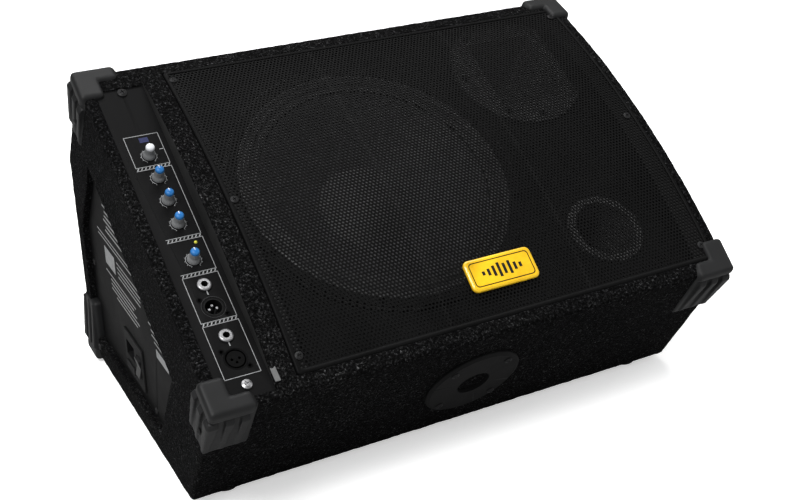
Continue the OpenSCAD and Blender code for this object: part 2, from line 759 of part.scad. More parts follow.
module power_switch() {
    color([0.05, 0.05, 0.05]) at_left(inlet_y, inlet_z)
        translate([rocker_at[0], rocker_at[1], rocker_pivot_z]) difference() {
            rotate([90, 0, 90]) translate([0, 0, -6.5]) linear_extrude(13) polygon([
                [-10.6, -4], [-10.6, 7], [0, 4.6], [10.6, 7], [10.6, -4], [0, -8]
            ]);
            translate([-10, 0, 0]) rotate([0, 90, 0]) cylinder(r = 1, h = 20, $fn = 24);
        }
}

// ---- controls beside the grille ----
module at_panel(s) { on_face(panel_x, s) children(); }
module control_panel() {
    color([0.13, 0.13, 0.14]) difference() {
        face_box(recess_x0 + 0.2, recess_x1 - 0.2, panel_s0, panel_s1, -panel_t, 0);
        for (s = knob_places) at_panel(s) translate([0, 0, -5]) cylinder(r = 3.7, h = 10);
        for (s = jack_places) at_panel(s) translate([0, 0, -5]) cylinder(r = 4.9, h = 10);
        at_panel(male_s) translate([0, 0, -5]) cylinder(r = male_r + 0.1, h = 10);
        at_panel(female_s) translate([0, 0, -5]) cylinder(r = female_r + 0.1, h = 10);
        for (s = [male_s, female_s]) for (d = [-1, 1]) at_panel(s)
            translate([d * xlr_screw, -d * xlr_screw, -5]) cylinder(r = 1.6, h = 10, $fn = 24);
        for (s = panel_screw_places) at_panel(s) translate([0, 0, -5]) cylinder(r = 2.3, h = 10, $fn = 24);
        on_face(led_x, led_s) translate([0, 0, -5]) cylinder(r = 1.6, h = 10, $fn = 24);
    }
}
panel_screw_places = [20.4, face_len - 31];
module panel_screws() {
    color("silver") for (s = panel_screw_places) at_panel(s) pan_screw(4.8, 2.6, 2.2, panel_t);
}
module control_board() {
    color("green") difference() {
        face_box(panel_x - 18, panel_x + 18, 32, 305, -27.6, -26);
        for (s = [40, 297]) at_panel(s) translate([0, 0, -40]) cylinder(r = 1.6, h = 40, $fn = 24);
    }
}
module level_pots() {
    color("silver") for (s = knob_places) at_panel(s) {
        translate([-5.5, -5.5, -26]) cube([11, 11, 24.4]);
        cylinder(r = shaft_r, h = knob_h * 0.55);
        translate([0, 0, -2]) cylinder(r = 3.6, h = 2.4);
    }
}
knob_lift = 0.6;                  // gap under a knob
knob_body = 0.72;                 // shares of the height: grey body, straight cap, tapered cap
knob_cap = 0.12;
knob_tip = 0.14;
knob_taper = 0.93;
knob_skirt_r = 6.4;               // flared foot of a knob
knob_skirt = 0.4;                 // share of the height taken by the flare
module knob(index, cap) {
    at_panel(knob_places[index]) difference() {
        union() {
            color([0.5, 0.52, 0.54]) translate([0, 0, knob_lift])
                cylinder(r1 = knob_r, r2 = knob_r * knob_taper, h = knob_h * knob_body);
            color([0.5, 0.52, 0.54]) translate([0, 0, knob_lift])
                cylinder(r1 = knob_skirt_r, r2 = knob_r * knob_taper, h = knob_h * knob_skirt);
            color(cap) translate([0, 0, knob_lift + knob_h * knob_body])
                cylinder(r = knob_r * knob_taper, h = knob_h * knob_cap);
            color(cap) translate([0, 0, knob_lift + knob_h * (knob_body + knob_cap)])
                cylinder(r1 = knob_r * knob_taper, r2 = knob_r * 0.6, h = knob_h * knob_tip);
        }
        cylinder(r = shaft_r + shaft_gap, h = knob_h * 0.6);
        translate([-0.3, knob_r * 0.3, knob_h * 0.97]) cube([0.6, knob_r, 2]);
    }
}
module knob_1() { knob(0, "white"); }
module knob_2() { knob(1, "dodgerblue"); }
module knob_3() { knob(2, "dodgerblue"); }
module knob_4() { knob(3, "dodgerblue"); }
module knob_5() { knob(4, "dodgerblue"); }

// Three contacts of a microphone connector, on a circle
module contacts(r) {
    for (a = [0, 90, 180]) rotate([0, 0, a]) translate([3.6, 0, 0]) cylinder(r = r, h = 30, $fn = 24);
}
module xlr_male() {
    color([0.15, 0.15, 0.16]) at_panel(male_s) {
        difference() {
            translate([0, 0, -socket_depth]) cylinder(r = male_r, h = socket_depth);
            translate([0, 0, -16]) cylinder(r = male_r - 1, h = 20);
        }
        intersection() {
            translate([0, 0, -17]) contacts(1.2);
            translate([0, 0, -17]) cylinder(r = male_r, h = 14);
        }
        translate([-12, -12, -12]) difference() {
            cube([24, 24, 10]);
            translate([12, 12, -1]) cylinder(r = male_r, h = 20);
            for (d = [-1, 1]) translate([12 + d * xlr_screw, 12 - d * xlr_screw, -1])
                cylinder(r = 1.4, h = 20, $fn = 24);
        }
    }
}
module xlr_female() {
    color([0.15, 0.15, 0.16]) at_panel(female_s) {
        difference() {
            translate([0, 0, -socket_depth]) cylinder(r = female_r, h = socket_depth);
            translate([0, 0, -18]) ring(9.5, 8.2, 30);
            translate([0, 0, -14]) rotate([0, 0, 180]) contacts(1.3);
        }
        translate([-13, -13, -12]) difference() {
            cube([26, 26, 10]);
            translate([13, 13, -1]) cylinder(r = female_r, h = 20);
            for (d = [-1, 1]) translate([13 + d * xlr_screw, 13 - d * xlr_screw, -1])
                cylinder(r = 1.4, h = 20, $fn = 24);
        }
    }
}
module jack_sockets() {
    color("silver") for (s = jack_places) at_panel(s) difference() {
        union() {
            cylinder(r = 6.7, h = 1.6);
            translate([0, 0, 1.6]) cylinder(r1 = 6.7, r2 = 5.4, h = 0.8);
            translate([0, 0, -3]) cylinder(r = 4.8, h = 4);
            translate([-6, -6.5, -socket_depth]) cube([12, 13, socket_depth - 1.7]);
        }
        translate([0, 0, -24]) cylinder(r = jack_bore_r, h = 40);
    }
}
module status_led() {
    color("yellow") on_face(led_x, led_s) union() {
        translate([0, 0, -6]) cylinder(r = 1.55, h = 6.6);
        translate([0, 0, 0.6]) cylinder(r1 = 1.55, r2 = 0.8, h = 0.8);
    }
}

side_panel_left();
side_panel_right();
front_panel();
rear_panel();
tail_panel();
bottom_panel();
baffle_board();
bay_divider();
grille_rails();
carpet_left();
carpet_right();
carpet_wrap();
carpet_recess();
grille();
grille_screws();
badge();
corner_protectors();
protector_screws();
rubber_feet();
foot_screws();
pole_socket();
pole_socket_screws();
woofer_basket();
woofer_gasket();
woofer_surround();
woofer_cone();
dust_cap();
voice_coil();
spider();
woofer_top_plate();
woofer_magnet();
woofer_back_plate();
woofer_terminals();
woofer_screws();
horn_flare();
horn_screws();
compression_driver();
driver_diaphragm();
port_tube();
amp_plate();
amp_plate_screws();
heatsink();
power_transformer();
amp_board();
mains_inlet();
fuse_drawer();
power_switch();
control_panel();
panel_screws();
control_board();
level_pots();
knob_1();
knob_2();
knob_3();
knob_4();
knob_5();
xlr_male();
xlr_female();
jack_sockets();
status_led();
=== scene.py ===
"""Looks of the stage monitor wedge: carpet, perforated grille, drivers, controls and corner protectors."""
import json
import math

import bpy
import bmesh
import numpy as np
from mathutils import Matrix, Vector, noise


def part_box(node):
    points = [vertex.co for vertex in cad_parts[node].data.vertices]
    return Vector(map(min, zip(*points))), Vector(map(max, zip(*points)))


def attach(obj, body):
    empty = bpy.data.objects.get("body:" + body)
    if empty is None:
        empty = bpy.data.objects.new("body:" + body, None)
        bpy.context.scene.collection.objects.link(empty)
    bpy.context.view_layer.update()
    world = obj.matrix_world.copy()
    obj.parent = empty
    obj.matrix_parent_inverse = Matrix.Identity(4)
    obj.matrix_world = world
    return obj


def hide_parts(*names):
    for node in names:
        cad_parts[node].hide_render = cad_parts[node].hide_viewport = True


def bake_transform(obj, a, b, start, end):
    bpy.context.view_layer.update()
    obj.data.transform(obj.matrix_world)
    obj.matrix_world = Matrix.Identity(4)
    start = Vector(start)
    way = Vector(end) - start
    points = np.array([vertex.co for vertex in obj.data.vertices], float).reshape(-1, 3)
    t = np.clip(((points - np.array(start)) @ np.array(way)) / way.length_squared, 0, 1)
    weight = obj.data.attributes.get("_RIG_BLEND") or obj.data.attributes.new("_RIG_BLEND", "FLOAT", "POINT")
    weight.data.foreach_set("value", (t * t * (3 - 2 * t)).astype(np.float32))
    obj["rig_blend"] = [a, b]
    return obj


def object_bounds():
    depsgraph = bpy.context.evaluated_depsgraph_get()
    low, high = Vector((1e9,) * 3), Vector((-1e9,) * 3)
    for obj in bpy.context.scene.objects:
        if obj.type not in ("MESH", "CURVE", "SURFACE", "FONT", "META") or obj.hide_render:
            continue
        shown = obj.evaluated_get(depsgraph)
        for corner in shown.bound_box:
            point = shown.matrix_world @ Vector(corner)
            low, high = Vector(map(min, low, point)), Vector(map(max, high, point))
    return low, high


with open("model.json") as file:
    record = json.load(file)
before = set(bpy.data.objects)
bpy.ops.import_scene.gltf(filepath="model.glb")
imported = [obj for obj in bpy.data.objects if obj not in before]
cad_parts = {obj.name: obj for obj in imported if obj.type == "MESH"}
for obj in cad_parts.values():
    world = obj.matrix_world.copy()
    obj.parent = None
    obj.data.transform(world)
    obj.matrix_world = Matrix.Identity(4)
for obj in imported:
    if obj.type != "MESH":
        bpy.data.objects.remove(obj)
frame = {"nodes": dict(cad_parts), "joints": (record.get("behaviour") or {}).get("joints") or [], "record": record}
CAD_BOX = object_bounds()
JOINTS = {j["name"]: j for j in frame["joints"]}
MM = 0.001
MERGE = 0.00001           # points nearer than this are one, in metres
WELD = 0.00002            # the same before an edge is softened

# ---- driving dimensions, in millimetres ----
KNOB_1_S = 284.3          # top knob's place up the face
FACE_LEN = 398.0
FRONT_LEN = 174.0
TAIL_LEAN = math.radians(32.0)
CROWN = 21.7
BAY_Z = 2.0               # flat top beside the controls, above the face line
EDGE_R = 5.0              # rounding of the carpeted cabinet edges
LIP_R = 1.5               # rounding of the carpet at the openings
GUARD_T = 4.0             # wall of the corner protectors
HALF_W = CAD_BOX[1][0] / MM - GUARD_T

# ---- the face frame: x along the width, s up the face, z out of it ----
N = Vector(JOINTS["knob_1_turn"]["axis"]).normalized()
S = Vector((0.0, N.z, -N.y))
X = Vector((1.0, 0.0, 0.0))
KNOB_1 = Vector(JOINTS["knob_1_turn"]["pos_m"]) / MM
PANEL_X = KNOB_1.x
FACE_O = KNOB_1 - S * KNOB_1_S - X * PANEL_X
TILT = math.atan2(S.z, S.y)
FACE_R = (FACE_LEN ** 2 / 4 + CROWN ** 2) / (2 * CROWN)


def face(x, s, z=0.0):
    """A point on the flat face line, z above it, in metres."""
    return (FACE_O + X * x + S * s + N * z) * MM


def crown(s):
    """Height of the crowned face above the flat face line."""
    return math.sqrt(FACE_R ** 2 - (s - FACE_LEN / 2) ** 2) - (FACE_R - CROWN)


def to_face(p):
    """x, s, z of a point given in metres."""
    q = Vector(p) / MM - FACE_O
    return q.x, q.dot(S), q.dot(N)


FACE_AXES = Matrix(((1, 0, 0), (0, S.y, N.y), (0, S.z, N.z))).to_4x4()


def face_matrix(x, s, z=0.0):
    """Local axes of the face at a place, for meshes built in metres."""
    return Matrix.Translation(face(x, s, z)) @ FACE_AXES


def crown_matrix(x, s, drop=0.0):
    """The same, square to the crowned surface."""
    lean = math.asin((FACE_LEN / 2 - s) / FACE_R)
    m = Matrix.Translation(face(x, s, crown(s))) @ FACE_AXES @ Matrix.Rotation(lean, 4, "X")
    return m @ Matrix.Translation((0, 0, -drop * MM))


# ---- mesh helpers ----
def add_object(name, data):
    ob = bpy.data.objects.new(name, data)
    bpy.context.scene.collection.objects.link(ob)
    return ob


def shaded(name, me, smooth):
    if smooth:
        me.polygons.foreach_set("use_smooth", [True] * len(me.polygons))
    return add_object(name, me)


def mesh_object(name, verts, faces, smooth=True):
    me = bpy.data.meshes.new(name)
    me.from_pydata([tuple(v) for v in verts], [], faces)
    me.update()
    return shaded(name, me, smooth)


def fill_mesh(me, bm):
    """Put a bmesh into a mesh with its faces turned outwards."""
    bmesh.ops.recalc_face_normals(bm, faces=bm.faces)
    bm.to_mesh(me)
    bm.free()


def bm_object(name, bm, smooth=True):
    me = bpy.data.meshes.new(name)
    fill_mesh(me, bm)
    return shaded(name, me, smooth)


def finish_piece(ob, mat, body="cabinet"):
    ob.data.materials.append(mat)
    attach(ob, body)
    return ob


def soften(ob, width):
    """Round the sharp edges of a part by a width in mm."""
    w = ob.modifiers.new("weld", "WELD")
    w.merge_threshold = WELD
    b = ob.modifiers.new("bevel", "BEVEL")
    b.width = width * MM
    b.segments = 2
    b.limit_method = "ANGLE"
    b.angle_limit = math.radians(35.0)


def polar(r, a, z=0.0):
    """A point in metres from a radius and a height in mm."""
    return Vector((r * math.cos(a), r * math.sin(a), z)) * MM


def stacked(rows, n, capped=True):
    """Faces between rows of n points, and one over the last row."""
    faces = []
    for i in range(rows - 1):
        for j in range(n):
            k = (j + 1) % n
            faces.append((i * n + j, i * n + k, (i + 1) * n + k, (i + 1) * n + j))
    if capped:
        faces.append(tuple((rows - 1) * n + j for j in range(n)))
    return faces


def around(steps, n, closed):
    """Faces between steps profiles of n points that stand around a closed path."""
    faces = []
    for i in range(steps):
        j = (i + 1) % steps
        for k in range(n if closed else n - 1):
            m = (k + 1) % n
            faces.append((i * n + k, j * n + k, j * n + m, i * n + m))
    return faces


def revolve(profile, steps, matrix, closed=True):
    """Verts and faces of a ring swept about local z. profile is (radius, z) in mm."""
    turns = [2 * math.pi * i / steps for i in range(steps)]
    verts = [matrix @ polar(r, a, z) for a in turns for r, z in profile]
    return verts, around(steps, len(profile), closed)


def box_bm(bm, size, matrix):
    """A box of size mm centred on matrix."""
    scale = Matrix.Diagonal((size[0] * MM, size[1] * MM, size[2] * MM, 1.0))
    bmesh.ops.create_cube(bm, size=1.0, matrix=matrix @ scale)


# ---- materials ----
def new_material(name):
    mat = bpy.data.materials.new(name)
    mat.use_nodes = True
    nt = mat.node_tree
    return mat, nt, nt.nodes["Principled BSDF"]


def set_inputs(n, **inputs):
    for key, value in inputs.items():
        n.inputs[key.replace("_", " ")].default_value = value


def node(nt, kind, **inputs):
    n = nt.nodes.new(kind)
    set_inputs(n, **inputs)
    return n


def grey(level, blue=None):
    """A grey, with its blue given apart where it isn't quite neutral."""
    return level, level, level if blue is None else blue


def ramp(nt, source, stops):
    r = nt.nodes.new("ShaderNodeValToRGB")
    el = r.color_ramp.elements
    el[0].position, el[0].color = stops[0][0], (*stops[0][1], 1.0)
    el[1].position, el[1].color = stops[-1][0], (*stops[-1][1], 1.0)
    for pos, col in stops[1:-1]:
        e = el.new(pos)
        e.color = (*col, 1.0)
    nt.links.new(source, r.inputs["Fac"])
    return r.outputs["Color"]


def object_coords(nt):
    return nt.nodes.new("ShaderNodeTexCoord").outputs["Object"]


def noise_tex(nt, scale, detail, rough, coords):
    n = node(nt, "ShaderNodeTexNoise", Scale=scale, Detail=detail, Roughness=rough)
    nt.links.new(coords, n.inputs["Vector"])
    return n.outputs["Fac"]


def stretched(nt, stretch, coords, **inputs):
    """Noise drawn out along an axis."""
    mapping = node(nt, "ShaderNodeMapping", Scale=stretch)
    nt.links.new(coords, mapping.inputs["Vector"])
    n = node(nt, "ShaderNodeTexNoise", **inputs)
    nt.links.new(mapping.outputs["Vector"], n.inputs["Vector"])
    return n.outputs["Fac"]


def bump(nt, bsdf, height, strength, distance):
    b = node(nt, "ShaderNodeBump", Strength=strength, Distance=distance)
    nt.links.new(height, b.inputs["Height"])
    nt.links.new(b.outputs["Normal"], bsdf.inputs["Normal"])


def math_node(nt, operation, *values):
    m = nt.nodes.new("ShaderNodeMath")
    m.operation = operation
    for socket, value in zip(m.inputs, values):
        if isinstance(value, (int, float)):
            socket.default_value = value
        else:
            nt.links.new(value, socket)
    return m.outputs["Value"]


def color_mix(nt, bsdf, color):
    """A mix of a colour with a second one, as the surface's base colour."""
    mix = nt.nodes.new("ShaderNodeMix")
    mix.data_type = "RGBA"
    nt.links.new(color, mix.inputs["A"])
    nt.links.new(mix.outputs["Result"], bsdf.inputs["Base Color"])
    return mix


def worn(name, base, worn_color, rough, grain, depth, metallic=0.0, edge=0.35, patch=14.0, coat=0.0,
         spec=0.3):
    """A moulded or painted surface: patchy colour, fine grain and lighter worn edges.

    rough is a range, grain and patch are scales, and depth is the grain's depth in metres.
    """
    mat, nt, bsdf = new_material(name)
    coords = object_coords(nt)
    patches = noise_tex(nt, patch, 5.0, 0.65, coords)
    fine = noise_tex(nt, grain, 3.0, 0.7, coords)
    dark = tuple(c * 0.72 for c in base)
    light = tuple(min(1.0, c * 1.25) for c in base)
    color = ramp(nt, patches, [(0.3, dark), (0.5, base), (0.72, light)])
    geo = nt.nodes.new("ShaderNodeNewGeometry")
    pointy = ramp(nt, geo.outputs["Pointiness"], [(0.52, grey(0)), (0.6, grey(1))])
    wear = math_node(nt, "MULTIPLY", pointy, math_node(nt, "MULTIPLY", patches, edge * 2))
    mix = color_mix(nt, bsdf, color)
    nt.links.new(wear, mix.inputs["Factor"])
    mix.inputs["B"].default_value = (*worn_color, 1.0)
    low, high = rough
    rough_color = ramp(nt, patches, [(0.3, grey(low)), (0.7, grey(high))])
    nt.links.new(rough_color, bsdf.inputs["Roughness"])
    set_inputs(bsdf, Metallic=metallic, Coat_Weight=coat, Specular_IOR_Level=spec)
    bump(nt, bsdf, fine, 0.5, depth)
    return mat


def ink(name, base, worn_color, patch=14.0):
    return worn(name, base, worn_color, (0.5, 0.65), 2000.0, 0.00001, edge=0.1, patch=patch)


def carpet_material():
    """Needle-punched black carpet: matted fibres with light specks."""
    mat, nt, bsdf = new_material("carpet_black")
    coords = object_coords(nt)
    warp = node(nt, "ShaderNodeTexNoise", Scale=420.0, Detail=3.0, Roughness=0.7)
    nt.links.new(coords, warp.inputs["Vector"])
    add = nt.nodes.new("ShaderNodeVectorMath")
    add.operation = "MULTIPLY_ADD"
    nt.links.new(warp.outputs["Color"], add.inputs[0])
    add.inputs[1].default_value = (0.004, 0.004, 0.004)
    nt.links.new(coords, add.inputs[2])
    fibre = noise_tex(nt, 440.0, 5.0, 0.8, add.outputs["Vector"])
    tufts = node(nt, "ShaderNodeTexVoronoi", Scale=330.0)
    nt.links.new(add.outputs["Vector"], tufts.inputs["Vector"])
    blotch = noise_tex(nt, 9.0, 4.0, 0.6, coords)
    color = ramp(nt, fibre, [(0.40, grey(0.001)), (0.52, grey(0.0035, 0.0036)), (0.60, grey(0.02, 0.0203)),
                             (0.71, grey(0.17, 0.172))])
    mix = color_mix(nt, bsdf, color)
    mix.blend_type = "MULTIPLY"
    mix.inputs["Factor"].default_value = 1.0
    nt.links.new(ramp(nt, blotch, [(0.3, grey(0.75, 0.78)), (0.7, grey(1.2))]), mix.inputs["B"])
    set_inputs(bsdf, Roughness=0.95, Specular_IOR_Level=0.04)
    tuft_height = math_node(nt, "MULTIPLY", tufts.outputs["Distance"], 0.5)
    bump(nt, bsdf, math_node(nt, "ADD", fibre, tuft_height), 0.9, 0.0016)
    return mat


def wood_material():
    mat, nt, bsdf = new_material("plywood")
    grain = stretched(nt, (3.0, 60.0, 60.0), object_coords(nt), Scale=5.0, Detail=8.0, Roughness=0.65,
                      Distortion=0.6)
    color = ramp(nt, grain, [
        (0.3, (0.32, 0.2, 0.11)), (0.5, (0.5, 0.35, 0.21)), (0.7, (0.62, 0.47, 0.3))])
    nt.links.new(color, bsdf.inputs["Base Color"])
    set_inputs(bsdf, Roughness=0.65)
    bump(nt, bsdf, grain, 0.3, 0.0003)
    return mat


def brushed(name, base, rough=0.3, stretch=(900.0, 40.0, 900.0)):
    mat, nt, bsdf = new_material(name)
    coords = object_coords(nt)
    lines = stretched(nt, stretch, coords, Scale=1.0, Detail=4.0, Roughness=0.7)
    smudge = noise_tex(nt, 30.0, 4.0, 0.6, coords)
    color = ramp(nt, smudge, [(0.3, tuple(c * 0.8 for c in base)), (0.7, base)])
    nt.links.new(color, bsdf.inputs["Base Color"])
    r = ramp(nt, lines, [(0.3, grey(rough * 0.6)), (0.7, grey(rough * 1.5))])
    nt.links.new(r, bsdf.inputs["Roughness"])
    set_inputs(bsdf, Metallic=1.0)
    bump(nt, bsdf, lines, 0.3, 0.00003)
    return mat


def cone_material():
    """Pressed fibre: mottled dark felt with fine fibres."""
    mat, nt, bsdf = new_material("cone_fibre")
    coords = object_coords(nt)
    fibre = noise_tex(nt, 520.0, 6.0, 0.8, coords)
    mottle = noise_tex(nt, 60.0, 4.0, 0.6, coords)
    halves = [math_node(nt, "MULTIPLY", part, 0.5) for part in (fibre, mottle)]
    mixed = math_node(nt, "ADD", *halves)
    color = ramp(nt, mixed, [(0.35, grey(0.09, 0.095)), (0.55, grey(0.14, 0.145)), (0.7, grey(0.2, 0.205))])
    nt.links.new(color, bsdf.inputs["Base Color"])
    set_inputs(bsdf, Roughness=0.55)
    bump(nt, bsdf, fibre, 0.5, 0.0004)
    return mat


MAT = {
    "board": wood_material(),
    "carpet": carpet_material(),
    "grille": worn("grille_paint", grey(0.003, 0.0031), grey(0.015), (0.5, 0.7), 900.0, 0.0001, spec=0.06),
    "baffle": worn("baffle_paint_and_shade", grey(0.02), grey(0.05), (0.6, 0.8), 600.0, 0.0001, spec=0.1),
    "black_screw": worn("black_oxide", grey(0.008, 0.0085), grey(0.05), (0.4, 0.6), 1600.0, 0.00002,
                        metallic=0.1, edge=0.3, spec=0.15),
    "horn": worn("horn_plastic", grey(0.16, 0.162), grey(0.3), (0.35, 0.5), 900.0, 0.00005),
    "badge": worn("badge_yellow", (0.86, 0.5, 0.008), (0.95, 0.72, 0.08), (0.25, 0.4), 1200.0, 0.00001,
                  edge=0.4, patch=30.0, coat=0.2),
    "grey_plastic": worn("protector_plastic", (0.012, 0.0122, 0.0126), grey(0.035), (0.45, 0.62), 1100.0,
                         0.00006, spec=0.2),
    "zinc_screw": brushed("zinc", grey(0.62, 0.6), 0.35, (700.0, 700.0, 700.0)),
    "rubber": worn("foot_rubber", grey(0.014), grey(0.06), (0.7, 0.9), 700.0, 0.00008),
    "black_plastic": worn("moulded_black", grey(0.006, 0.0062), grey(0.03), (0.55, 0.7), 900.0, 0.00005,
                          spec=0.09),
    "frame_paint": worn("satin_black", grey(0.025, 0.026), grey(0.15), (0.35, 0.5), 1000.0, 0.00003,
                        metallic=0.3),
    "gasket": worn("foam_black", grey(0.015), grey(0.05), (0.85, 0.95), 500.0, 0.0003),
    "surround": worn("coated_cloth", grey(0.16, 0.162), grey(0.3), (0.3, 0.45), 1500.0, 0.0001),
    "cone": cone_material(),
    "copper": brushed("copper_wire", (0.75, 0.36, 0.16), 0.3, (1500.0, 1500.0, 1500.0)),
    "spider": worn("resin_cloth", (0.52, 0.36, 0.14), (0.7, 0.55, 0.3), (0.6, 0.8), 1800.0, 0.00015),
    "steel": brushed("plated_steel", grey(0.6, 0.61)),
    "ferrite": worn("ferrite_grey", grey(0.05, 0.052), grey(0.15), (0.5, 0.7), 1300.0, 0.00005),
    "brass": brushed("plated_brass", (0.75, 0.58, 0.28)),
    "diaphragm": brushed("foil", grey(0.75, 0.77), 0.25),
    "plate": worn("panel_paint", grey(0.004, 0.0042), grey(0.02), (0.55, 0.7), 1300.0, 0.00003, spec=0.06),
    "heatsink": brushed("extruded_aluminium", grey(0.72, 0.74)),
    "circuit": worn("solder_mask", (0.02, 0.16, 0.06), (0.1, 0.35, 0.18), (0.25, 0.4), 1500.0, 0.00003),
    "rocker_black": worn("rocker_black", grey(0.009, 0.0095), grey(0.05), (0.2, 0.35), 1000.0, 0.00002,
                         spec=0.2),
    "chrome": brushed("chrome_plate", grey(0.4, 0.41), 0.4),
    "knob_grey": worn("knob_body", (0.2, 0.205, 0.21), grey(0.5, 0.52), (0.45, 0.6), 1200.0, 0.00004),
    "cap_blue": worn("knob_cap_blue", (0.008, 0.14, 0.42), (0.2, 0.45, 0.8), (0.35, 0.5), 1200.0, 0.00002),
    "cap_white": worn("knob_cap_white", (0.75, 0.77, 0.8), grey(0.95), (0.3, 0.45), 1200.0, 0.00002),
    "print": ink("panel_print", (0.25, 0.255, 0.26), grey(0.55), 200.0),
    "print_blue": ink("panel_print_blue", (0.004, 0.008, 0.06), (0.01, 0.02, 0.1)),
    "socket_black": worn("socket_black", grey(0.002, 0.0021), grey(0.01), (0.6, 0.75), 900.0, 0.00004,
                         spec=0.04),
    "print_dim": ink("panel_print_dim", grey(0.05, 0.052), grey(0.1)),
    "tab": worn("tab_grey", (0.055, 0.056, 0.056), grey(0.6), (0.5, 0.65), 1500.0, 0.00003),
    "led": worn("led_amber", (0.62, 0.58, 0.05), (0.9, 0.9, 0.3), (0.1, 0.2), 800.0, 0.00001),
}

SLOT_MATERIAL = {"knob_white": "knob_grey", "black_board": "baffle"}
for part in frame["record"]["subparts"]:
    ob = frame["nodes"][part["node"]]
    slot_name = part["material_slot"]
    ob.data.materials.clear()
    ob.data.materials.append(MAT[SLOT_MATERIAL.get(slot_name, slot_name)])
frame["nodes"]["protector_screws"].data.materials[0] = MAT["black_screw"]
for name in ("horn_flare", "port_tube"):
    frame["nodes"][name].data.materials[0] = MAT["horn"]
frame["nodes"]["dust_cap"].data.materials[0] = MAT["surround"]


def paint_where(name, mat, test):
    """Give a part a second material on the faces whose centre passes a test in face axes."""
    me = frame["nodes"][name].data
    me.materials.append(mat)
    for poly in me.polygons:
        if test(*to_face(poly.center)):
            poly.material_index = 1


# ---- places of the sockets up the face, and their sizes ----
SOCKET_S = (128.8, 72.2)  # the two jack sockets
SOCKET_BORE = 3.4
MALE_S, FEMALE_S = 104.2, 47.7
XLR_SCREW = 9.9           # a connector's screws stand this far across and along from its middle
MALE_WELL = 5.4           # radius around the contacts


def beside(x, s, places, reach):
    """Whether a place on the panel is nearer than reach to the middle of a socket."""
    return min(math.hypot(x - PANEL_X, s - q) for q in places) < reach


# the upper panel screw is black, the jack sockets are dark inside, the male contacts are plated
paint_where("panel_screws", MAT["black_screw"], lambda x, s, z: s > FACE_LEN / 2)
frame["nodes"]["xlr_female"].data.materials[0] = MAT["socket_black"]
# the cut edges and the outside of the left side board are blackened around the amplifier plate
board = frame["nodes"]["side_panel_left"].data
board.materials.append(MAT["baffle"])
for poly in board.polygons:
    if poly.normal.x < 0.9:
        poly.material_index = 1
paint_where("jack_sockets", MAT["black_plastic"],
            lambda x, s, z: z < -0.3 or beside(x, s, SOCKET_S, SOCKET_BORE))
paint_where("xlr_male", MAT["chrome"],
            lambda x, s, z: -15.9 < z < -2 and beside(x, s, (MALE_S,), MALE_WELL))


# ---- the cabinet outline as a core line with outward normals ----
FAN_STEPS = 6             # parts of each rounded edge


def flatten_bay(loop):
    """The same outline with the crown taken down to the flat top of the control bay."""
    result = []
    for cy, cz, ny, nz, s in loop:
        down = max(0.0, crown(s) - BAY_Z) if s > 0 else 0.0
        if down:
            ny, nz = N.y, N.z
        result.append((cy - N.y * down, cz - N.z * down, ny, nz, s))
    return result


def side_outline(step):
    """Closed list of (core y, core z, normal y, normal z, s), with s only on the face and -1 elsewhere.

    Offsetting the core by EDGE_R along its normals gives the cabinet.
    """
    sin_t, cos_t = math.sin(TILT), math.cos(TILT)
    p1 = np.array((FACE_O.y, FACE_O.z))
    up = np.array((S.y, S.z))
    out = np.array((N.y, N.z))
    p0 = p1 + FRONT_LEN * np.array((sin_t, -cos_t))
    p2 = p1 + FACE_LEN * up
    tail_dir = np.array((math.sin(TAIL_LEAN), -math.cos(TAIL_LEAN)))
    tail_out = np.array((math.cos(TAIL_LEAN), math.sin(TAIL_LEAN)))
    rear_y = CAD_BOX[1][1] / MM - GUARD_T
    front_out = -up
    r = EDGE_R
    mid = p1 + up * FACE_LEN / 2 + out * (CROWN - FACE_R)
    core_r = FACE_R - r
    # where the inset front, tail, rear and bottom lines meet
    a_front = math.asin((r - FACE_LEN / 2) / core_r)
    d_tail = (p2 - r * tail_out - mid) @ tail_out
    tail_angle = math.atan2(tail_out @ up, tail_out @ out)
    a_tail = tail_angle - math.acos(d_tail / core_r)

    def on_arc(a):
        return mid + core_r * (math.sin(a) * up + math.cos(a) * out)

    c1 = on_arc(a_front)
    c2 = on_arc(a_tail)
    y4 = rear_y - r
    c3 = c2 + tail_dir * ((y4 - c2[0]) / tail_dir[0])
    z0 = p0[1] + r
    c4 = np.array((y4, z0))
    down = -np.array((-sin_t, cos_t))
    c0 = c1 + down * ((z0 - c1[1]) / down[1])
    loop = []

    def angle_of(v):
        return math.atan2(v[1], v[0])

    def fan(c, n_from, n_to):
        a, b = angle_of(n_from), angle_of(n_to)
        while b > a:
            b -= 2 * math.pi
        for i in range(FAN_STEPS + 1):
            t = a + (b - a) * i / FAN_STEPS
            loop.append((c[0], c[1], math.cos(t), math.sin(t), -1.0))

    def line(a, b, n):
        count = max(2, int(np.linalg.norm(b - a) / step))
        for i in range(1, count):
            q = a + (b - a) * i / count
            loop.append((q[0], q[1], n[0], n[1], -1.0))

    rear_out = np.array((1.0, 0.0))
    bottom_out = np.array((0.0, -1.0))
    fan(c0, bottom_out, front_out)
    line(c0, c1, front_out)
    n1 = math.sin(a_front) * up + math.cos(a_front) * out
    fan(c1, front_out, n1)
    for s in face_marks(step):
        a = math.asin((s - FACE_LEN / 2) / FACE_R)
        if a_front < a < a_tail:
            q = on_arc(a)
            n = math.sin(a) * up + math.cos(a) * out
            loop.append((q[0], q[1], n[0], n[1], s))
    n2 = math.sin(a_tail) * up + math.cos(a_tail) * out
    fan(c2, n2, tail_out)
    line(c2, c3, tail_out)
    fan(c3, tail_out, rear_out)
    line(c3, c4, rear_out)
    fan(c4, rear_out, bottom_out)
    line(c4, c0, bottom_out)
    return loop
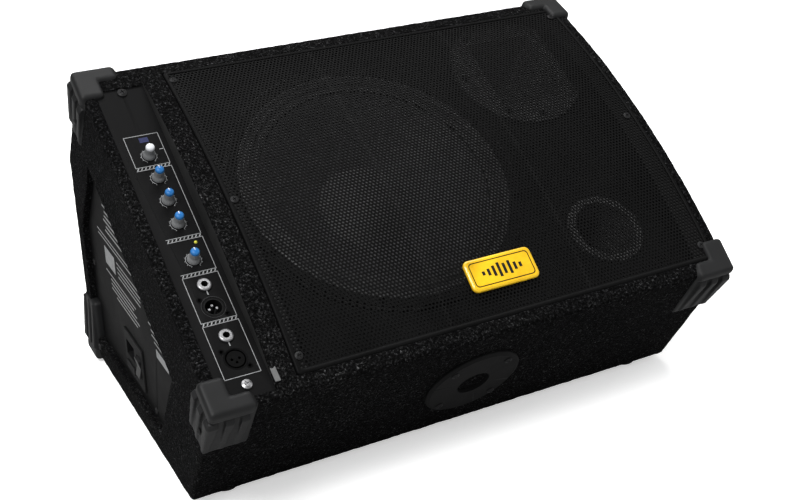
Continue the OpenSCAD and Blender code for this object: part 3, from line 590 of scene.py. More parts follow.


# openings in the carpeted face: x0, x1, s0, s1 and how deep their walls go; the walls are painted black as painted
# shade
RECESS = (-274.2, -224.8, 7.8, FACE_LEN - 25.3, -1.3)
GRILLE_X0, GRILLE_X1 = -201.0, 275.0
GRILLE_S0, GRILLE_S1 = 15.0, 381.0
GRILLE_HOLE = (GRILLE_X0 - 1.5, GRILLE_X1 + 1.0, GRILLE_S0 - 0.5, GRILLE_S1 + 0.5, -11.5)
OPENINGS = (RECESS, GRILLE_HOLE)


def marks(lo, hi, breaks, step):
    """Evenly spread stations from lo to hi that also hit each break and crowd beside it."""
    near = (-3.2, -2.0, -1.0, -0.35, 0.0, 0.35, 1.0, 2.0, 3.2)
    crowd = {round(b + d, 4) for b in breaks for d in near if lo <= b + d <= hi}
    fixed = sorted(crowd | {lo, hi})
    result = []
    for a, b in zip(fixed[:-1], fixed[1:]):
        count = max(1, round((b - a) / step))
        result += [a + (b - a) * i / count for i in range(count)]
    return result + [hi]


def face_marks(step):
    return marks(4.0, FACE_LEN - 4.0, RECESS[2:4] + GRILLE_HOLE[2:4], step)


def rounding(distance):
    """How far a lip has rounded down at a distance of less than LIP_R from its edge."""
    return LIP_R - math.sqrt(max(LIP_R ** 2 - (LIP_R - distance) ** 2, 0.0))


def lip_drop(x, s):
    """How far the carpet has rounded down at a place beside an opening."""
    drop = 0.0
    if 0 <= x - RECESS[1] < LIP_R:
        drop = rounding(x - RECESS[1])
    for x0, x1, s0, s1, _ in OPENINGS:
        dx = max(x0 - x, x - x1, 0.0)
        ds = max(s0 - s, s - s1, 0.0)
        d = math.hypot(dx, ds)
        if d < LIP_R:
            drop = max(drop, rounding(d))
    return drop


def in_opening(x, s):
    return any(x0 < x < x1 and s0 < s < s1 for x0, x1, s0, s1, _ in OPENINGS)


FUZZ = 0.45               # height of the carpet's unevenness
NAP = 0.1                 # how far its mean lies under the cabinet's outline


def fuzz(p):
    """Unevenness of the carpet at a point in millimetres."""
    q = Vector(p)
    return FUZZ * (noise.noise(q * 0.11) * 0.9 + noise.noise(q * 0.43) * 0.7)


def carpet_tube(step):
    """The carpet around the cabinet between its sides, and the outlines at its two ends."""
    crowned = side_outline(step)
    flat_loop = flatten_bay(crowned)
    r = EDGE_R
    flat = HALF_W - r
    turns = [math.radians(90 - 15 * i) for i in range(6)]
    edge = [(-flat - r * math.sin(a), r * math.cos(a), -math.sin(a)) for a in turns]
    left_x = marks(-flat, RECESS[1], [RECESS[0], RECESS[1]], step)
    right_x = marks(RECESS[1], flat, [RECESS[1], GRILLE_HOLE[0], GRILLE_HOLE[1]], step)
    columns = [(x, e, nx, flat_loop) for x, e, nx in edge] + [(x, r, 0.0, flat_loop) for x in left_x]
    columns += [(x, r, 0.0, crowned) for x in right_x]
    columns += [(-x, e, -nx, crowned) for x, e, nx in reversed(edge)]
    wall = len(edge) + len(left_x) - 1
    verts = []
    for i, (x, e, nx, loop) in enumerate(columns):
        for cy, cz, ny, nz, s in loop:
            k = math.sqrt(max(0.0, 1 - nx * nx))
            p = Vector((x, cy + ny * e, cz + nz * e))
            n = Vector((nx, ny * k, nz * k))
            drop = 0.0
            if s > 0 and (i > wall or x < RECESS[1]):
                drop = lip_drop(x, s)
            p = p + n * (fuzz(p) - NAP) - Vector((0, ny, nz)) * drop
            verts.append(p * MM)
    loop = crowned
    m = len(loop)
    faces, shade_painted_wall_faces = [], []
    for i in range(len(columns) - 1):
        for j in range(m):
            k = (j + 1) % m
            s_mid = (loop[j][4] + loop[k][4]) / 2
            x_mid = (columns[i][0] + columns[i + 1][0]) / 2
            on_face = loop[j][4] > 0 and loop[k][4] > 0
            if on_face and in_opening(x_mid, s_mid):
                continue
            # the step wall beside the control recess gets the black paint as painted shade
            if i == wall:
                if not on_face:
                    continue
                shade_painted_wall_faces.append(len(faces))
            faces.append((i * m + j, i * m + k, (i + 1) * m + k, (i + 1) * m + j))
    ob = mesh_object("carpet_body", verts, faces)
    bm = bmesh.new()
    bm.from_mesh(ob.data)
    bm.faces.ensure_lookup_table()
    for k in shade_painted_wall_faces:
        bm.faces[k].material_index = 1
    bmesh.ops.remove_doubles(bm, verts=bm.verts, dist=MERGE)
    # walls in black paint as painted shade: the rim of each opening is drawn down into the cabinet
    rim = []
    for e in bm.edges:
        if e.is_boundary:
            x, s, z = to_face((e.verts[0].co + e.verts[1].co) / 2)
            if abs(x) < HALF_W - EDGE_R and 2 < s < FACE_LEN - 2 and z > -15:
                rim.append(e)
    wall_steps = 3
    for depth_step in range(wall_steps):
        made = bmesh.ops.extrude_edge_only(bm, edges=rim)["geom"]
        for f in made:
            if isinstance(f, bmesh.types.BMFace):
                f.material_index = 1
        rim = [g for g in made if isinstance(g, bmesh.types.BMEdge)]
        for v in [g for g in made if isinstance(g, bmesh.types.BMVert)]:
            x, s, z = to_face(v.co)
            in_bay = x < (RECESS[1] + GRILLE_HOLE[0]) / 2
            bottom = RECESS[4] if in_bay else GRILLE_HOLE[4]
            top_z = min(crown(s), BAY_Z if in_bay else CROWN) - LIP_R
            target = top_z + (min(bottom, top_z - 1.0) - top_z) * (depth_step + 1) / wall_steps
            v.co += N * ((target - z) * MM)
    fill_mesh(ob.data, bm)
    return ob, flat_loop, crowned


def plate_points():
    """The amplifier plate's points in Y and Z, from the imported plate's own mesh."""
    vertices = frame["nodes"]["amp_plate"].data.vertices
    pts = np.empty(len(vertices) * 3)
    vertices.foreach_get("co", pts)
    return pts.reshape(-1, 3)[:, 1:] / MM


def ray_to_hull(pts, mid, directions):
    """Distance from mid to the convex hull of pts along each direction, found by its support lines."""
    angles = np.linspace(0, 2 * math.pi, 1440, endpoint=False)
    normals = np.stack([np.cos(angles), np.sin(angles)], axis=1)
    support = ((pts - mid) @ normals.T).max(axis=0)
    dots = directions @ normals.T
    with np.errstate(divide="ignore"):
        reach = np.where(dots > 1e-6, support / dots, np.inf)
    return reach.min(axis=1)


def carpet_side(name, sign, loop, plate_x):
    """A flat carpeted side from the rounded edge to the plate opening, or closed to its middle."""
    core = np.array([(c[0], c[1]) for c in loop])
    opened = plate_x is not None
    if opened:
        pts = plate_points()
        mid = (pts.max(axis=0) + pts.min(axis=0)) / 2
        d = core - mid
        d /= np.linalg.norm(d, axis=1)[:, None]
        reach = ray_to_hull(pts, mid, d) - 0.1
        inner = mid + d * reach[:, None]
    else:
        mid = core.mean(axis=0)
        inner = mid + (core - mid) * 0.02
    x_side = sign * HALF_W
    rings = []
    count = 40
    for k in range(count + 1):
        t = k / count
        if opened:
            t = 1 - (1 - t) ** 1.6
        ring_pts = core + (inner - core) * t
        gaps = np.linalg.norm(ring_pts - inner, axis=1)
        ring_list = []
        for (y, z), gap in zip(ring_pts, gaps):
            drop = rounding(gap) if opened and gap < LIP_R else 0.0
            p = Vector((x_side, y, z))
            p.x += sign * (fuzz(p) - NAP) - sign * drop
            ring_list.append(p * MM)
        rings.append(ring_list)
    if opened:
        lip_x = x_side - sign * LIP_R
        for wall in (0.5, 1.0):
            x = lip_x + (plate_x - lip_x) * wall
            rings.append([Vector((x, y, z)) * MM for y, z in inner])
    verts = [v for ring in rings for v in ring]
    ob = mesh_object(name, verts, stacked(len(rings), len(loop), capped=not opened))
    bm = bmesh.new()
    bm.from_mesh(ob.data)
    bmesh.ops.remove_doubles(bm, verts=bm.verts, dist=MERGE)
    fill_mesh(ob.data, bm)
    return ob


CARPET_STEP = 3.0
body_carpet, LEFT_LOOP, RIGHT_LOOP = carpet_tube(CARPET_STEP)
finish_piece(body_carpet, MAT["carpet"])
# the carpet's second slot is the black baffle paint, used on its walls as painted shade
body_carpet.data.materials.append(MAT["baffle"])
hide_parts("carpet_wrap", "carpet_recess")
PLATE_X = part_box("amp_plate")[0][0]
for label, sign, loop, plate_x in (("left", -1, LEFT_LOOP, PLATE_X / MM), ("right", 1, RIGHT_LOOP, None)):
    side_carpet = carpet_side(f"carpet_side_{label}", sign, loop, plate_x)
    finish_piece(side_carpet, MAT["carpet"])
    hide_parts(f"carpet_{label}")


# ---- perforated grille ----
PITCH = 4.0
HOLE_R = 1.42
GRILLE_DROP = 0.5         # how far the sheet lies under the crown
SHEET_DROP = 0.15         # how far the pierced part lies under the plain border
SHEET_T = 1.2
RIM = 2.6
RIM_T = 0.8
RIM_CORNER = 3.0


def thicken(ob, thickness):
    solid = ob.modifiers.new("sheet", "SOLIDIFY")
    solid.thickness = thickness * MM
    solid.offset = -1.0


def grille_sheet(name, x0, x1):
    """Staggered round holes as a mesh of six-sided cells on the crowned surface."""
    row = PITCH * math.sqrt(3) / 2
    corner_r = PITCH / math.sqrt(3)
    verts, faces, index = [], [], {}

    def on_sheet(x, s):
        return face(x, s, crown(s) - GRILLE_DROP - SHEET_DROP)

    def vertex(x, s):
        key = (round(x, 3), round(s, 3))
        if key not in index:
            index[key] = len(verts)
            verts.append(on_sheet(x, s))
        return index[key]

    first_row = math.ceil((GRILLE_S0 + RIM / 2) / row)
    last_row = math.floor((GRILLE_S1 - RIM / 2) / row)
    for j in range(first_row, last_row + 1):
        s = j * row
        shift = PITCH / 2 if j % 2 else 0.0
        for i in range(math.ceil((x0 - shift) / PITCH), math.floor((x1 - shift) / PITCH) + 1):
            x = i * PITCH + shift
            if not (GRILLE_X0 + RIM / 2 < x < GRILLE_X1 - RIM / 2 and x0 <= x < x1):
                continue
            corners = [math.radians(30 + 60 * k) for k in range(6)]
            rim = [vertex(x + corner_r * math.cos(a), s + corner_r * math.sin(a)) for a in corners]
            hole = []
            for a in corners:
                hole.append(len(verts))
                verts.append(on_sheet(x + HOLE_R * math.cos(a), s + HOLE_R * math.sin(a)))
            for k in range(6):
                n = (k + 1) % 6
                faces.append((rim[k], rim[n], hole[n], hole[k]))
    ob = mesh_object(name, verts, faces, smooth=False)
    thicken(ob, SHEET_T)
    return ob


def grille_frame():
    """The plain rolled border of the grille, folded down at its edge."""
    # from the sheet outwards: how far inside the edge, and how high
    profile = [(RIM + 1.0, -0.1), (RIM * 0.6, -0.05), (1.2, -0.05), (0.5, -0.2), (0.12, -0.8), (0.0, -1.8),
               (0.0, -9.0)]
    path = []

    def arc(cx, cs, a0):
        for i in range(5):
            a = math.radians(a0 + 90 * i / 4)
            path.append((cx, cs, math.cos(a), math.sin(a)))

    def run(a, b, n):
        count = max(1, int(math.dist(a, b) / 6))
        for i in range(1, count):
            x = a[0] + (b[0] - a[0]) * i / count
            s = a[1] + (b[1] - a[1]) * i / count
            path.append((x, s, n[0], n[1]))

    xa, xb = GRILLE_X0 + RIM_CORNER, GRILLE_X1 - RIM_CORNER
    sa, sb = GRILLE_S0 + RIM_CORNER, GRILLE_S1 - RIM_CORNER
    arc(xb, sb, 0)
    run((xb, sb), (xa, sb), (0, 1))
    arc(xa, sb, 90)
    run((xa, sb), (xa, sa), (-1, 0))
    arc(xa, sa, 180)
    run((xa, sa), (xb, sa), (0, -1))
    arc(xb, sa, 270)
    run((xb, sa), (xb, sb), (1, 0))
    verts = []
    for cx, cs, nx, ns in path:
        for inward, z in profile:
            off = RIM_CORNER - inward
            x, s = cx + nx * off, cs + ns * off
            verts.append(face(x, s, max(crown(s) - GRILLE_DROP + z, z)))
    ob = mesh_object("grille_frame", verts, around(len(path), len(profile), closed=False))
    thicken(ob, RIM_T)
    return ob


split = [GRILLE_X0, GRILLE_X0 + 160.0, GRILLE_X0 + 320.0, GRILLE_X1]
grille_parts = []
for i in range(3):
    grille_parts.append(grille_sheet(f"grille_sheet_{i + 1}", split[i], split[i + 1]))
border = grille_frame()
for ob in grille_parts + [border]:
    finish_piece(ob, MAT["grille"])
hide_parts("grille")


# ---- badge: a plain bevelled plate with an inset line and level bars ----
def rounded_rect(w, h, r, steps=8):
    pts = []
    mx, my = w / 2 - r, h / 2 - r
    for cx, cy, a0 in ((mx, my, 0), (-mx, my, 90), (-mx, -my, 180), (mx, -my, 270)):
        for i in range(steps + 1):
            a = math.radians(a0 + 90 * i / steps)
            pts.append((cx + r * math.cos(a), cy + r * math.sin(a)))
    return pts


def plate_mesh(name, w, h, r, layers, matrix):
    """Stacked outlines: each layer is (shrink, z). The last one is capped."""
    verts = []
    for shrink, z in layers:
        for x, y in rounded_rect(w - 2 * shrink, h - 2 * shrink, max(r - shrink, 0.3)):
            verts.append(matrix @ (Vector((x, y, z)) * MM))
    faces = stacked(len(layers), len(verts) // len(layers))
    return mesh_object(name, verts, faces, smooth=False)


BADGE_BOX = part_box("badge")
BADGE_X = (BADGE_BOX[0][0] + BADGE_BOX[1][0]) / 2 / MM
BADGE_S = 60.0
BADGE_W, BADGE_H, BADGE_R = 76, 34, 6
BADGE_TOP = 3.0
MARK_Z = BADGE_TOP + 0.12  # the inset line stands just proud of the plate
BAR_PITCH = 6
badge_at = crown_matrix(BADGE_X, BADGE_S)
layers = [(0, -0.4), (0, 1.2), (0.5, 2.2), (2.2, BADGE_TOP), (2.8, BADGE_TOP)]
plate = plate_mesh("badge_plate", BADGE_W, BADGE_H, BADGE_R, layers, badge_at)
finish_piece(plate, MAT["badge"])
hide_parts("badge")
bm = bmesh.new()
rings = []
for w, h, r in ((BADGE_W - 8, BADGE_H - 8, 4), (BADGE_W - 10, BADGE_H - 10, 3.2)):
    places = [Vector((x, y, MARK_Z)) * MM for x, y in rounded_rect(w, h, r)]
    rings.append([bm.verts.new(badge_at @ p) for p in places])
for j in range(len(rings[0])):
    k = (j + 1) % len(rings[0])
    bm.faces.new((rings[0][j], rings[0][k], rings[1][k], rings[1][j]))
bars = (4, 7, 11, 15, 11, 14, 8, 5)
for i, tall in enumerate(bars):
    place = Matrix.Translation(((i - (len(bars) - 1) / 2) * BAR_PITCH * MM, 0, 3.1 * MM))
    box_bm(bm, (3.0, tall, 0.3), badge_at @ place)
badge_marks = bm_object("badge_marks", bm, smooth=False)
finish_piece(badge_marks, MAT["black_plastic"])


# ---- controls ----
KNOB_R, KNOB_H = 4.6, 16.0
FLUTE = 0.16              # depth of the grip's flutes
GRIP_SIDES = 48
CAP_SIDES = 40
POINTER_W = 0.9
# rows of the flared grip as (times KNOB_R, mm) and of the domed cap as (times KNOB_R, times KNOB_H)
GRIP = [(1.3, 0.6), (1.38, 0.9), (1.39, 1.6), (1.34, 2.8), (1.22, 4.2), (1.09, 5.4), (1.01, 6.8),
        (0.97, KNOB_H * 0.62), (0.95, KNOB_H * 0.70), (0.9, KNOB_H * 0.735)]
DOME = [(0.9, 0.735), (0.94, 0.75), (0.94, 0.83), (0.9, 0.89), (0.78, 0.94), (0.55, 0.975), (0.25, 0.995),
        (0.02, 1.0)]


def knob_piece(index, cap_material):
    pos = Vector(JOINTS[f"knob_{index}_turn"]["pos_m"])
    at = Matrix.Translation(pos) @ FACE_AXES
    carrier = f"knob_{index}_body"
    verts = []
    for scale, z in GRIP:
        fluted = 1.0 < z < KNOB_H * 0.71
        for i in range(GRIP_SIDES):
            r = KNOB_R * scale - (FLUTE if i % 2 and fluted else 0.0)
            verts.append(at @ polar(r, 2 * math.pi * i / GRIP_SIDES, z))
    faces = stacked(len(GRIP), GRIP_SIDES) + [tuple(range(GRIP_SIDES))]
    grip = mesh_object(f"knob_{index}_grip", verts, faces, smooth=False)
    finish_piece(grip, MAT["knob_grey"], carrier)
    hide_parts(f"knob_{index}")
    v, f = revolve([(KNOB_R * r, KNOB_H * z) for r, z in DOME], CAP_SIDES, at, closed=False)
    f.append(tuple(i * len(DOME) + len(DOME) - 1 for i in range(CAP_SIDES)))
    cap = mesh_object(f"knob_{index}_cap", v, f)
    finish_piece(cap, cap_material, carrier)
    # the pointer runs down the dome and then down the side
    bm = bmesh.new()
    on_dome = Matrix.Translation((0, 2.1 * MM, KNOB_H * 0.965 * MM)) @ Matrix.Rotation(-0.22, 4, "X")
    on_side = Matrix.Translation((0, KNOB_R * 0.96 * MM, KNOB_H * 0.55 * MM))
    box_bm(bm, (POINTER_W, 3.2, 0.5), at @ on_dome)
    box_bm(bm, (POINTER_W, 0.4, 5.0), at @ on_side)
    line = bm_object(f"knob_{index}_pointer", bm, smooth=False)
    finish_piece(line, MAT["cap_white"], carrier)


for i in range(1, 6):
    knob_piece(i, MAT["cap_white" if i == 1 else "cap_blue"])

# ---- print on the control panel: thin marks that lie on it, in mm ----
PRINT_Z = 0.12
PRINT_T = 0.12
PRINT_HALF = 17.4         # half the width of the printed boxes
LINE_W = 0.6
BOX_GAP = 1.6             # between a box and the middle of a divider
PRINT_LOW, PRINT_HIGH = 29.4, 311.0
HATCHES = 9               # slanted strokes of a divider
TICKS = 11                # around each knob
SCALE_R, TICK_R = 7.2, 8.1
KNOB_S = [to_face(JOINTS[f"knob_{i}_turn"]["pos_m"])[1] for i in range(1, 6)]
DIVIDERS = [(KNOB_S[0] + KNOB_S[1]) / 2, (KNOB_S[3] + KNOB_S[4]) / 2 + 4, 142.0, 88.0]


def print_box(bm, x0, x1, s0, s1, turn=0.0):
    m = face_matrix((x0 + x1) / 2, (s0 + s1) / 2, PRINT_Z) @ Matrix.Rotation(turn, 4, "Z")
    box_bm(bm, (x1 - x0, s1 - s0, PRINT_T), m)


def print_ring(bm, x, s, r, width, a0=0.0, a1=360.0, steps=36):
    m = face_matrix(x, s, PRINT_Z + PRINT_T / 2)
    pts = []
    for i in range(steps + 1):
        a = math.radians(a0 + (a1 - a0) * i / steps)
        pts.append([bm.verts.new(m @ polar(q, a)) for q in (r, r + width)])
    for a, b in zip(pts[:-1], pts[1:]):
        bm.faces.new((a[0], a[1], b[1], b[0]))


def printed(name, bm, mat):
    finish_piece(bm_object(name, bm, smooth=False), MAT[mat])


# boxes around the groups of controls, open on the left beside knobs 2 to 5
bm = bmesh.new()
x0, x1 = PANEL_X - PRINT_HALF, PANEL_X + PRINT_HALF
edges = [PRINT_HIGH] + DIVIDERS + [PRINT_LOW]
for top, bottom in zip(edges[:-1], edges[1:]):
    a = bottom if bottom == PRINT_LOW else bottom + BOX_GAP
    b = top if top == PRINT_HIGH else top - BOX_GAP
    if b > KNOB_S[0] or a < DIVIDERS[2]:
        print_box(bm, x0, x0 + LINE_W, a, b)
    print_box(bm, x1 - LINE_W, x1, a, b)
    print_box(bm, x0, x1, b - LINE_W, b)
    print_box(bm, x0, x1, a, a + LINE_W)
for d in DIVIDERS:
    for i in range(HATCHES):
        cx = x0 + (i + 0.5) * (x1 - x0) / HATCHES
        print_box(bm, cx - 0.5, cx + 0.5, d - 1.5, d + 1.5, turn=math.radians(-35))
for s in KNOB_S:
    print_ring(bm, PANEL_X, s, SCALE_R, 0.5, -55, 235)
    for i in range(TICKS):
        turned = face_matrix(PANEL_X, s, PRINT_Z) @ Matrix.Rotation(math.radians(-60 + 30 * i), 4, "Z")
        box_bm(bm, (1.2, 0.45, PRINT_T), turned @ Matrix.Translation((TICK_R * MM, 0, 0)))
# short links between a jack socket and the connector below it, and a dash beside the top knob
for s in (122.0, 65.5):
    print_box(bm, PANEL_X - 0.5, PANEL_X + 0.5, s - 4.0, s + 1.5)
print_box(bm, PANEL_X + 12.6, PANEL_X + 16.4, KNOB_S[0] + 5.6, KNOB_S[0] + 6.4)
printed("panel_lines", bm, "print")
# painted shade: black rings stand for the shaded gaps around the connectors and their screws
bm = bmesh.new()
for s in (MALE_S, FEMALE_S):
    print_ring(bm, PANEL_X, s, 10.4, 0.7)
    for sign in (-1, 1):
        print_ring(bm, PANEL_X + sign * XLR_SCREW, s - sign * XLR_SCREW, 1.55, 1.3)
printed("panel_gap_shade", bm, "socket_black")
bm = bmesh.new()
print_ring(bm, PANEL_X, MALE_S, 11.0, 0.35)
printed("panel_ring", bm, "print_dim")
bm = bmesh.new()
print_box(bm, PANEL_X - 3.2, PANEL_X + 5.8, 301.5, 307.5)
printed("panel_blue_mark", bm, "print_blue")
TAB_X, TAB_S = -221.6, 20.5
tab_at = face_matrix(TAB_X, TAB_S, crown(TAB_S) + 0.3)
tab = plate_mesh("face_tab", 5.2, 15.0, 0.8, [(0, 0), (0, 0.8), (0.4, 1.1)], tab_at)
finish_piece(tab, MAT["tab"])

# ---- print on the side plate: blank labels and rules, placed from the middle of the mains inlet ----
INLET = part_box("mains_inlet")
INLET_Y = (INLET[0][1] + INLET[1][1]) / 2 / MM
INLET_Z = (INLET[0][2] + INLET[1][2]) / 2 / MM


def rules(bm, count, y, z, w, pitch=5.2, h=1.6, drift=0.0, cut=0, cycle=1):
    """Lines under one another: each is moved by drift and ends short by up to cycle."""
    for row in range(count):
        at = (PLATE_X, (INLET_Y + y + drift * row) * MM, (INLET_Z + z - pitch * row) * MM)
        box_bm(bm, (0.15, w - (row * cut) % cycle, h), Matrix.Translation(at))


bm = bmesh.new()
for row in range(6):
    rules(bm, 1, 34 + row % 2, 150 - row * 5.6, 70 - (row * 13) % 19, h=2.0)
rules(bm, 2, 28, 112, 142, pitch=5.0, cut=5, cycle=6)
rules(bm, 1, 61, 89, 34, h=20)
rules(bm, 4, -2, 97, 78, cut=17, cycle=15)
rules(bm, 5, 30, 70, 100, drift=-4, cut=23, cycle=31)
rules(bm, 4, -80, 76, 40, drift=-3, cut=7, cycle=11)
rules(bm, 1, -96, 50, 36, h=9)
printed("side_plate_labels", bm, "print")

# ---- woofer surround and spider: the inner edge follows the cone, the outer edge stays ----
CONE_AXIS = Vector(JOINTS["cone_travel"]["axis"]).normalized()
WOOFER_X, WOOFER_S = -34.0, 205.0
GLUED_IN, GLUED_OUT = 1.5, 3.5  # widths of a ring's edges that follow the cone whole or stay put
woofer_at = face_matrix(WOOFER_X, WOOFER_S)


def ripple(u, amount, waves):
    return amount * math.sin(u * 2 * math.pi * waves) * math.sin(u * math.pi)


def ring_piece(name, r0, r1, z, thick, amount, waves, steps, sides, mat, replaced):
    """A rippled ring of cloth from radius r0 to r1, its lower side at z."""
    top = []
    for i in range(steps + 1):
        u = i / steps
        top.append((r0 + (r1 - r0) * u, z + thick + ripple(u, amount, waves)))
    under = [(r, h - thick) for r, h in reversed(top)]
    v, f = revolve(top + under, sides, woofer_at)
    ob = mesh_object(name, v, f)
    ob.data.materials.append(mat)
    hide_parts(replaced)
    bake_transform(ob, "moving_cone", "cabinet", start=tuple(woofer_at.translation),
             end=tuple(woofer_at.translation + CONE_AXIS * 0.001))
    layer = ob.data.attributes["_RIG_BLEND"]
    inverse = woofer_at.inverted()
    for vert, item in zip(ob.data.vertices, layer.data):
        q = inverse @ vert.co
        radius = math.hypot(q.x, q.y) / MM
        free = r1 - r0 - GLUED_IN - GLUED_OUT
        item.value = min(1.0, max(0.0, (radius - r0 - GLUED_IN) / free))


ring_piece("surround_cloth", 120.0, 142.0, -7.0, thick=0.8, amount=2.6, waves=2.5, steps=56, sides=144,
           mat=MAT["surround"], replaced="woofer_surround")
ring_piece("spider_cloth", 32.8, 84.0, -71.0, thick=0.7, amount=1.5, waves=5.0, steps=60, sides=96,
           mat=MAT["spider"], replaced="spider")

# ---- corner protectors: a rounded L-shaped cap over ribbed skirts ----
GUARD_CAP = 4.4           # how far the cap stands off the carpet
GUARD_SKIRT = 1.2         # how far the skirts stand off it
CAP_LOW, CAP_HIGH = -11.0, GUARD_CAP - 0.8  # the cap's underside and top, from the cabinet's edge
ROLL_LOW = 9.0            # how far the cap's rolled edges reach down
SKIRT_LOW = 71.0          # how far the skirts reach down
CAP_R, ROLL_R, SKIRT_R = 4.6, 4.4, 3.6
FIN = 6.2                 # reach of the ribs at their upper end
FIN_TOP, FIN_WIDEST, FIN_LOW = 10.2, 15.0, 67.0
FINS = ((0.5, 5.0), (16.0, 4.2), (31.0, 4.2))  # each rib's place and half width


def hull_bm(bm, points):
    made = [bm.verts.new(p) for p in points]
    bmesh.ops.convex_hull(bm, input=made)


def pad(bm, frame_m, x, a, b, r):
    """A round-cornered block from ranges in mm in a corner's own frame."""
    pts = []
    for i in (x[0] + r, x[1] - r):
        for j in (a[0] + r, a[1] - r):
            for k in (b[0] + r, b[1] - r):
                for lat in range(-3, 4):
                    for lon in range(12):
                        la, lo = math.radians(lat * 30), math.radians(lon * 30)
                        q = Vector((math.cos(la) * math.cos(lo), math.cos(la) * math.sin(lo), math.sin(la)))
                        pts.append(frame_m @ ((Vector((i, j, k)) + q * r) * MM))
    hull_bm(bm, pts)


def protector(name, corner, down, back, sign, cap_back, lift=0.0):
    """A corner protector.

    corner is (y, z) of the sharp edge, down runs along the skirt, back along the cap and cap_back along
    the cap's top.
    """
    d = Vector((0, down[0], down[1])).normalized()
    k = Vector((0, back[0], back[1])).normalized()
    at = Vector((sign * HALF_W, corner[0], corner[1])) * MM
    m = Matrix((Vector((-sign, 0, 0)), d, k)).transposed().to_4x4()
    m.translation = at
    c = Vector((0, cap_back[0], cap_back[1])).normalized()
    up_c = Vector((0, -c.z, c.y))
    if up_c.dot(-d) < 0:
        up_c = -up_c
    mc = Matrix((Vector((-sign, 0, 0)), c, up_c)).transposed().to_4x4()
    mc.translation = at + up_c * (lift * MM)
    bm = bmesh.new()
    g, t = GUARD_CAP, GUARD_SKIRT
    # cap: two arms on the face, rounded down over the outer sides
    for across, along in ((40, 14), (21, 34)):
        pad(bm, mc, (-g, across), (-g, along), (CAP_LOW, CAP_HIGH), CAP_R)
    for across, along in ((41, 12), (12, 34)):
        pad(bm, m, (-g, across), (-g + 0.6, ROLL_LOW), (-g, along), ROLL_R)
    # skirts
    for across, along in ((43, 10), (10, 36)):
        pad(bm, m, (-t, across), (-1, SKIRT_LOW), (-t, along), SKIRT_R)
    # ribs
    for u, half in FINS:
        sections = ((FIN_TOP, g - 1.2, half), (FIN_WIDEST, FIN, half), (FIN_LOW, t + 1.2, half * 0.6))
        for front in (True, False):
            pts = []
            for v, out, wide in sections:
                for w in (-wide, wide):
                    for o in (-out, 0.5):
                        pts.append((u + w, v, o) if front else (o, v, u + w))
            hull_bm(bm, [m @ (Vector(q) * MM) for q in pts])
    ob = bm_object(name, bm)
    r = ob.modifiers.new("skin", "REMESH")
    r.mode = "VOXEL"
    r.voxel_size = 0.95 * MM
    r.use_smooth_shade = True
    sm = ob.modifiers.new("round", "SMOOTH")
    sm.factor = 0.5
    sm.iterations = 6
    return finish_piece(ob, MAT["grey_plastic"])


sin_t, cos_t = math.sin(TILT), math.cos(TILT)
edge_lean = math.asin((FACE_LEN / 2 - 16) / FACE_R)
FRONT_TOP = (FACE_O.y, FACE_O.z)
REAR_TOP = (FRONT_TOP[0] + FACE_LEN * cos_t, FRONT_TOP[1] + FACE_LEN * sin_t)
REAR_LOW = (CAD_BOX[1][1] / MM - GUARD_T, FRONT_TOP[1] - FRONT_LEN * cos_t)
tail_sin, tail_cos = math.sin(TAIL_LEAN), math.cos(TAIL_LEAN)
for side, label in ((-1, "left"), (1, "right")):
    # the left caps lie on the flat bay, the right ones lean with the crowned face
    lean, lift = (0.0, 1.2) if side < 0 else (edge_lean, 0.0)
    front_back = (math.cos(TILT + lean), math.sin(TILT + lean))
    top_back = (-math.cos(TILT - lean), -math.sin(TILT - lean))
    protector(f"protector_front_{label}", FRONT_TOP, (sin_t, -cos_t), (cos_t, sin_t), side,
                            front_back, lift)
    protector(f"protector_top_{label}", REAR_TOP, (tail_sin, -tail_cos),
                            (-tail_cos, -tail_sin), side, top_back, lift)
    protector(f"protector_rear_{label}", REAR_LOW, (0, 1), (-1, 0), side, (-1, 0))
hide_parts("corner_protectors")

# ---- softened edges on the carried-over parts ----
BOARDS = ("side_panel_left", "side_panel_right", "front_panel", "rear_panel", "tail_panel", "bottom_panel")
SOFTENED = (
    (3.0, BOARDS),
    (1.0, ("rubber_feet",)),
    (0.8, ("pole_socket", "horn_flare")),
    (0.6, ("power_switch", "mains_inlet")),
    (0.4, ("amp_plate",)),
    (0.3, ("fuse_drawer", "control_panel", "jack_sockets")),
)
for width, names in SOFTENED:
    for name in names:
        soften(frame["nodes"][name], width)

# ---- studio: a pale floor that sweeps up behind the object, in metres ----
FLOOR_HALF = 9.0
SWEEP_Y, SWEEP_R, SWEEP_STEPS = 4.0, 2.0, 12
WALL_TOP = 7.0
FLOOR_COLOUR = 0.5        # as it lights the object
FLOOR_SEEN = 0.44         # how much paler it is to the camera
FLOOR_GLOW = 0.5          # and how much it glows there
WORLD_LIGHT, WORLD_SEEN = 0.36, 0.64
bm = bmesh.new()
sweep = [(-FLOOR_HALF, 0.0), (SWEEP_Y, 0.0)]
for i in range(SWEEP_STEPS + 1):
    a = math.radians(90 * i / SWEEP_STEPS)
    sweep.append((SWEEP_Y + SWEEP_R * math.sin(a), SWEEP_R - SWEEP_R * math.cos(a)))
sweep.append((SWEEP_Y + SWEEP_R, WALL_TOP))
rows = [[bm.verts.new((x, y, z)) for y, z in sweep] for x in (-FLOOR_HALF, FLOOR_HALF)]
for j in range(len(sweep) - 1):
    bm.faces.new((rows[0][j], rows[1][j], rows[1][j + 1], rows[0][j + 1]))
floor = bm_object("studio_floor", bm)
floor_mat, floor_nt, floor_bsdf = new_material("pale_floor")
set_inputs(floor_bsdf, Roughness=0.9, Specular_IOR_Level=0.1, Emission_Color=(1.0, 1.0, 1.0, 1.0))
path = floor_nt.nodes.new("ShaderNodeLightPath")
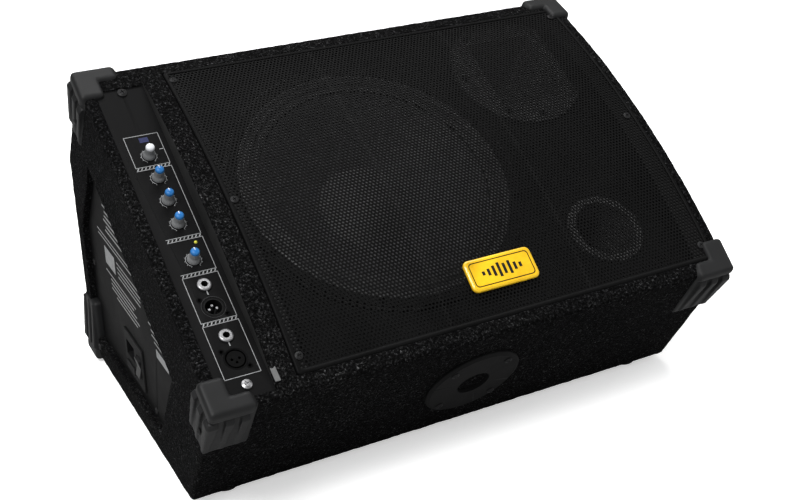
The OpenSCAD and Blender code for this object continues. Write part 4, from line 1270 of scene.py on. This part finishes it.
tone = math_node(floor_nt, "MULTIPLY_ADD", path.outputs["Is Camera Ray"], FLOOR_SEEN, FLOOR_COLOUR)
floor_nt.links.new(tone, floor_bsdf.inputs["Base Color"])
glow = math_node(floor_nt, "MULTIPLY", path.outputs["Is Camera Ray"], FLOOR_GLOW)
floor_nt.links.new(glow, floor_bsdf.inputs["Emission Strength"])
floor.data.materials.append(floor_mat)

world = bpy.data.worlds.new("studio")
bpy.context.scene.world = world
world.use_nodes = True
wnt = world.node_tree
background = wnt.nodes["Background"]
set_inputs(background, Color=(1.0, 1.0, 1.0, 1.0))
wpath = wnt.nodes.new("ShaderNodeLightPath")
seen = math_node(wnt, "MULTIPLY", wpath.outputs["Is Camera Ray"], WORLD_SEEN)
wnt.links.new(math_node(wnt, "ADD", seen, WORLD_LIGHT), background.inputs["Strength"])
bpy.context.scene.view_settings.view_transform = "Standard"


def area_light(name, location, target, size, power):
    data = bpy.data.lights.new(name, "AREA")
    data.shape = "RECTANGLE"
    data.size, data.size_y = size
    data.energy = power
    ob = add_object(name, data)
    ob.location = location
    ob.rotation_euler = (Vector(target) - Vector(location)).to_track_quat("-Z", "Y").to_euler()


area_light("key", (-1.3, -0.9, 2.3), (0, 0, 0.2), (0.8, 0.8), 54.0)
area_light("fill", (2.2, -1.0, 1.6), (0, 0, 0.2), (1.4, 1.4), 9.0)
area_light("top", (0.1, 0.9, 2.4), (0, 0.1, 0.2), (2.4, 0.9), 40.0)

# ---- camera: where the photographer stood ----
VIEW_DIR = Vector((0.42419, 0.78181, -0.45699)).normalized()
VIEW_UP = Vector((0.21636, 0.40253, 0.88947))
CAM_AT = Vector((-0.5779, -1.0787, 0.7841))
cam_data = bpy.data.cameras.new("camera")
cam_data.sensor_width = 36.0
cam_data.lens = 57.44
camera = add_object("camera", cam_data)
right = VIEW_DIR.cross(VIEW_UP).normalized()
up = right.cross(VIEW_DIR)
basis = Matrix((right, up, -VIEW_DIR)).transposed().to_4x4()
camera.matrix_world = Matrix.Translation(CAM_AT) @ basis
bpy.context.scene.camera = camera
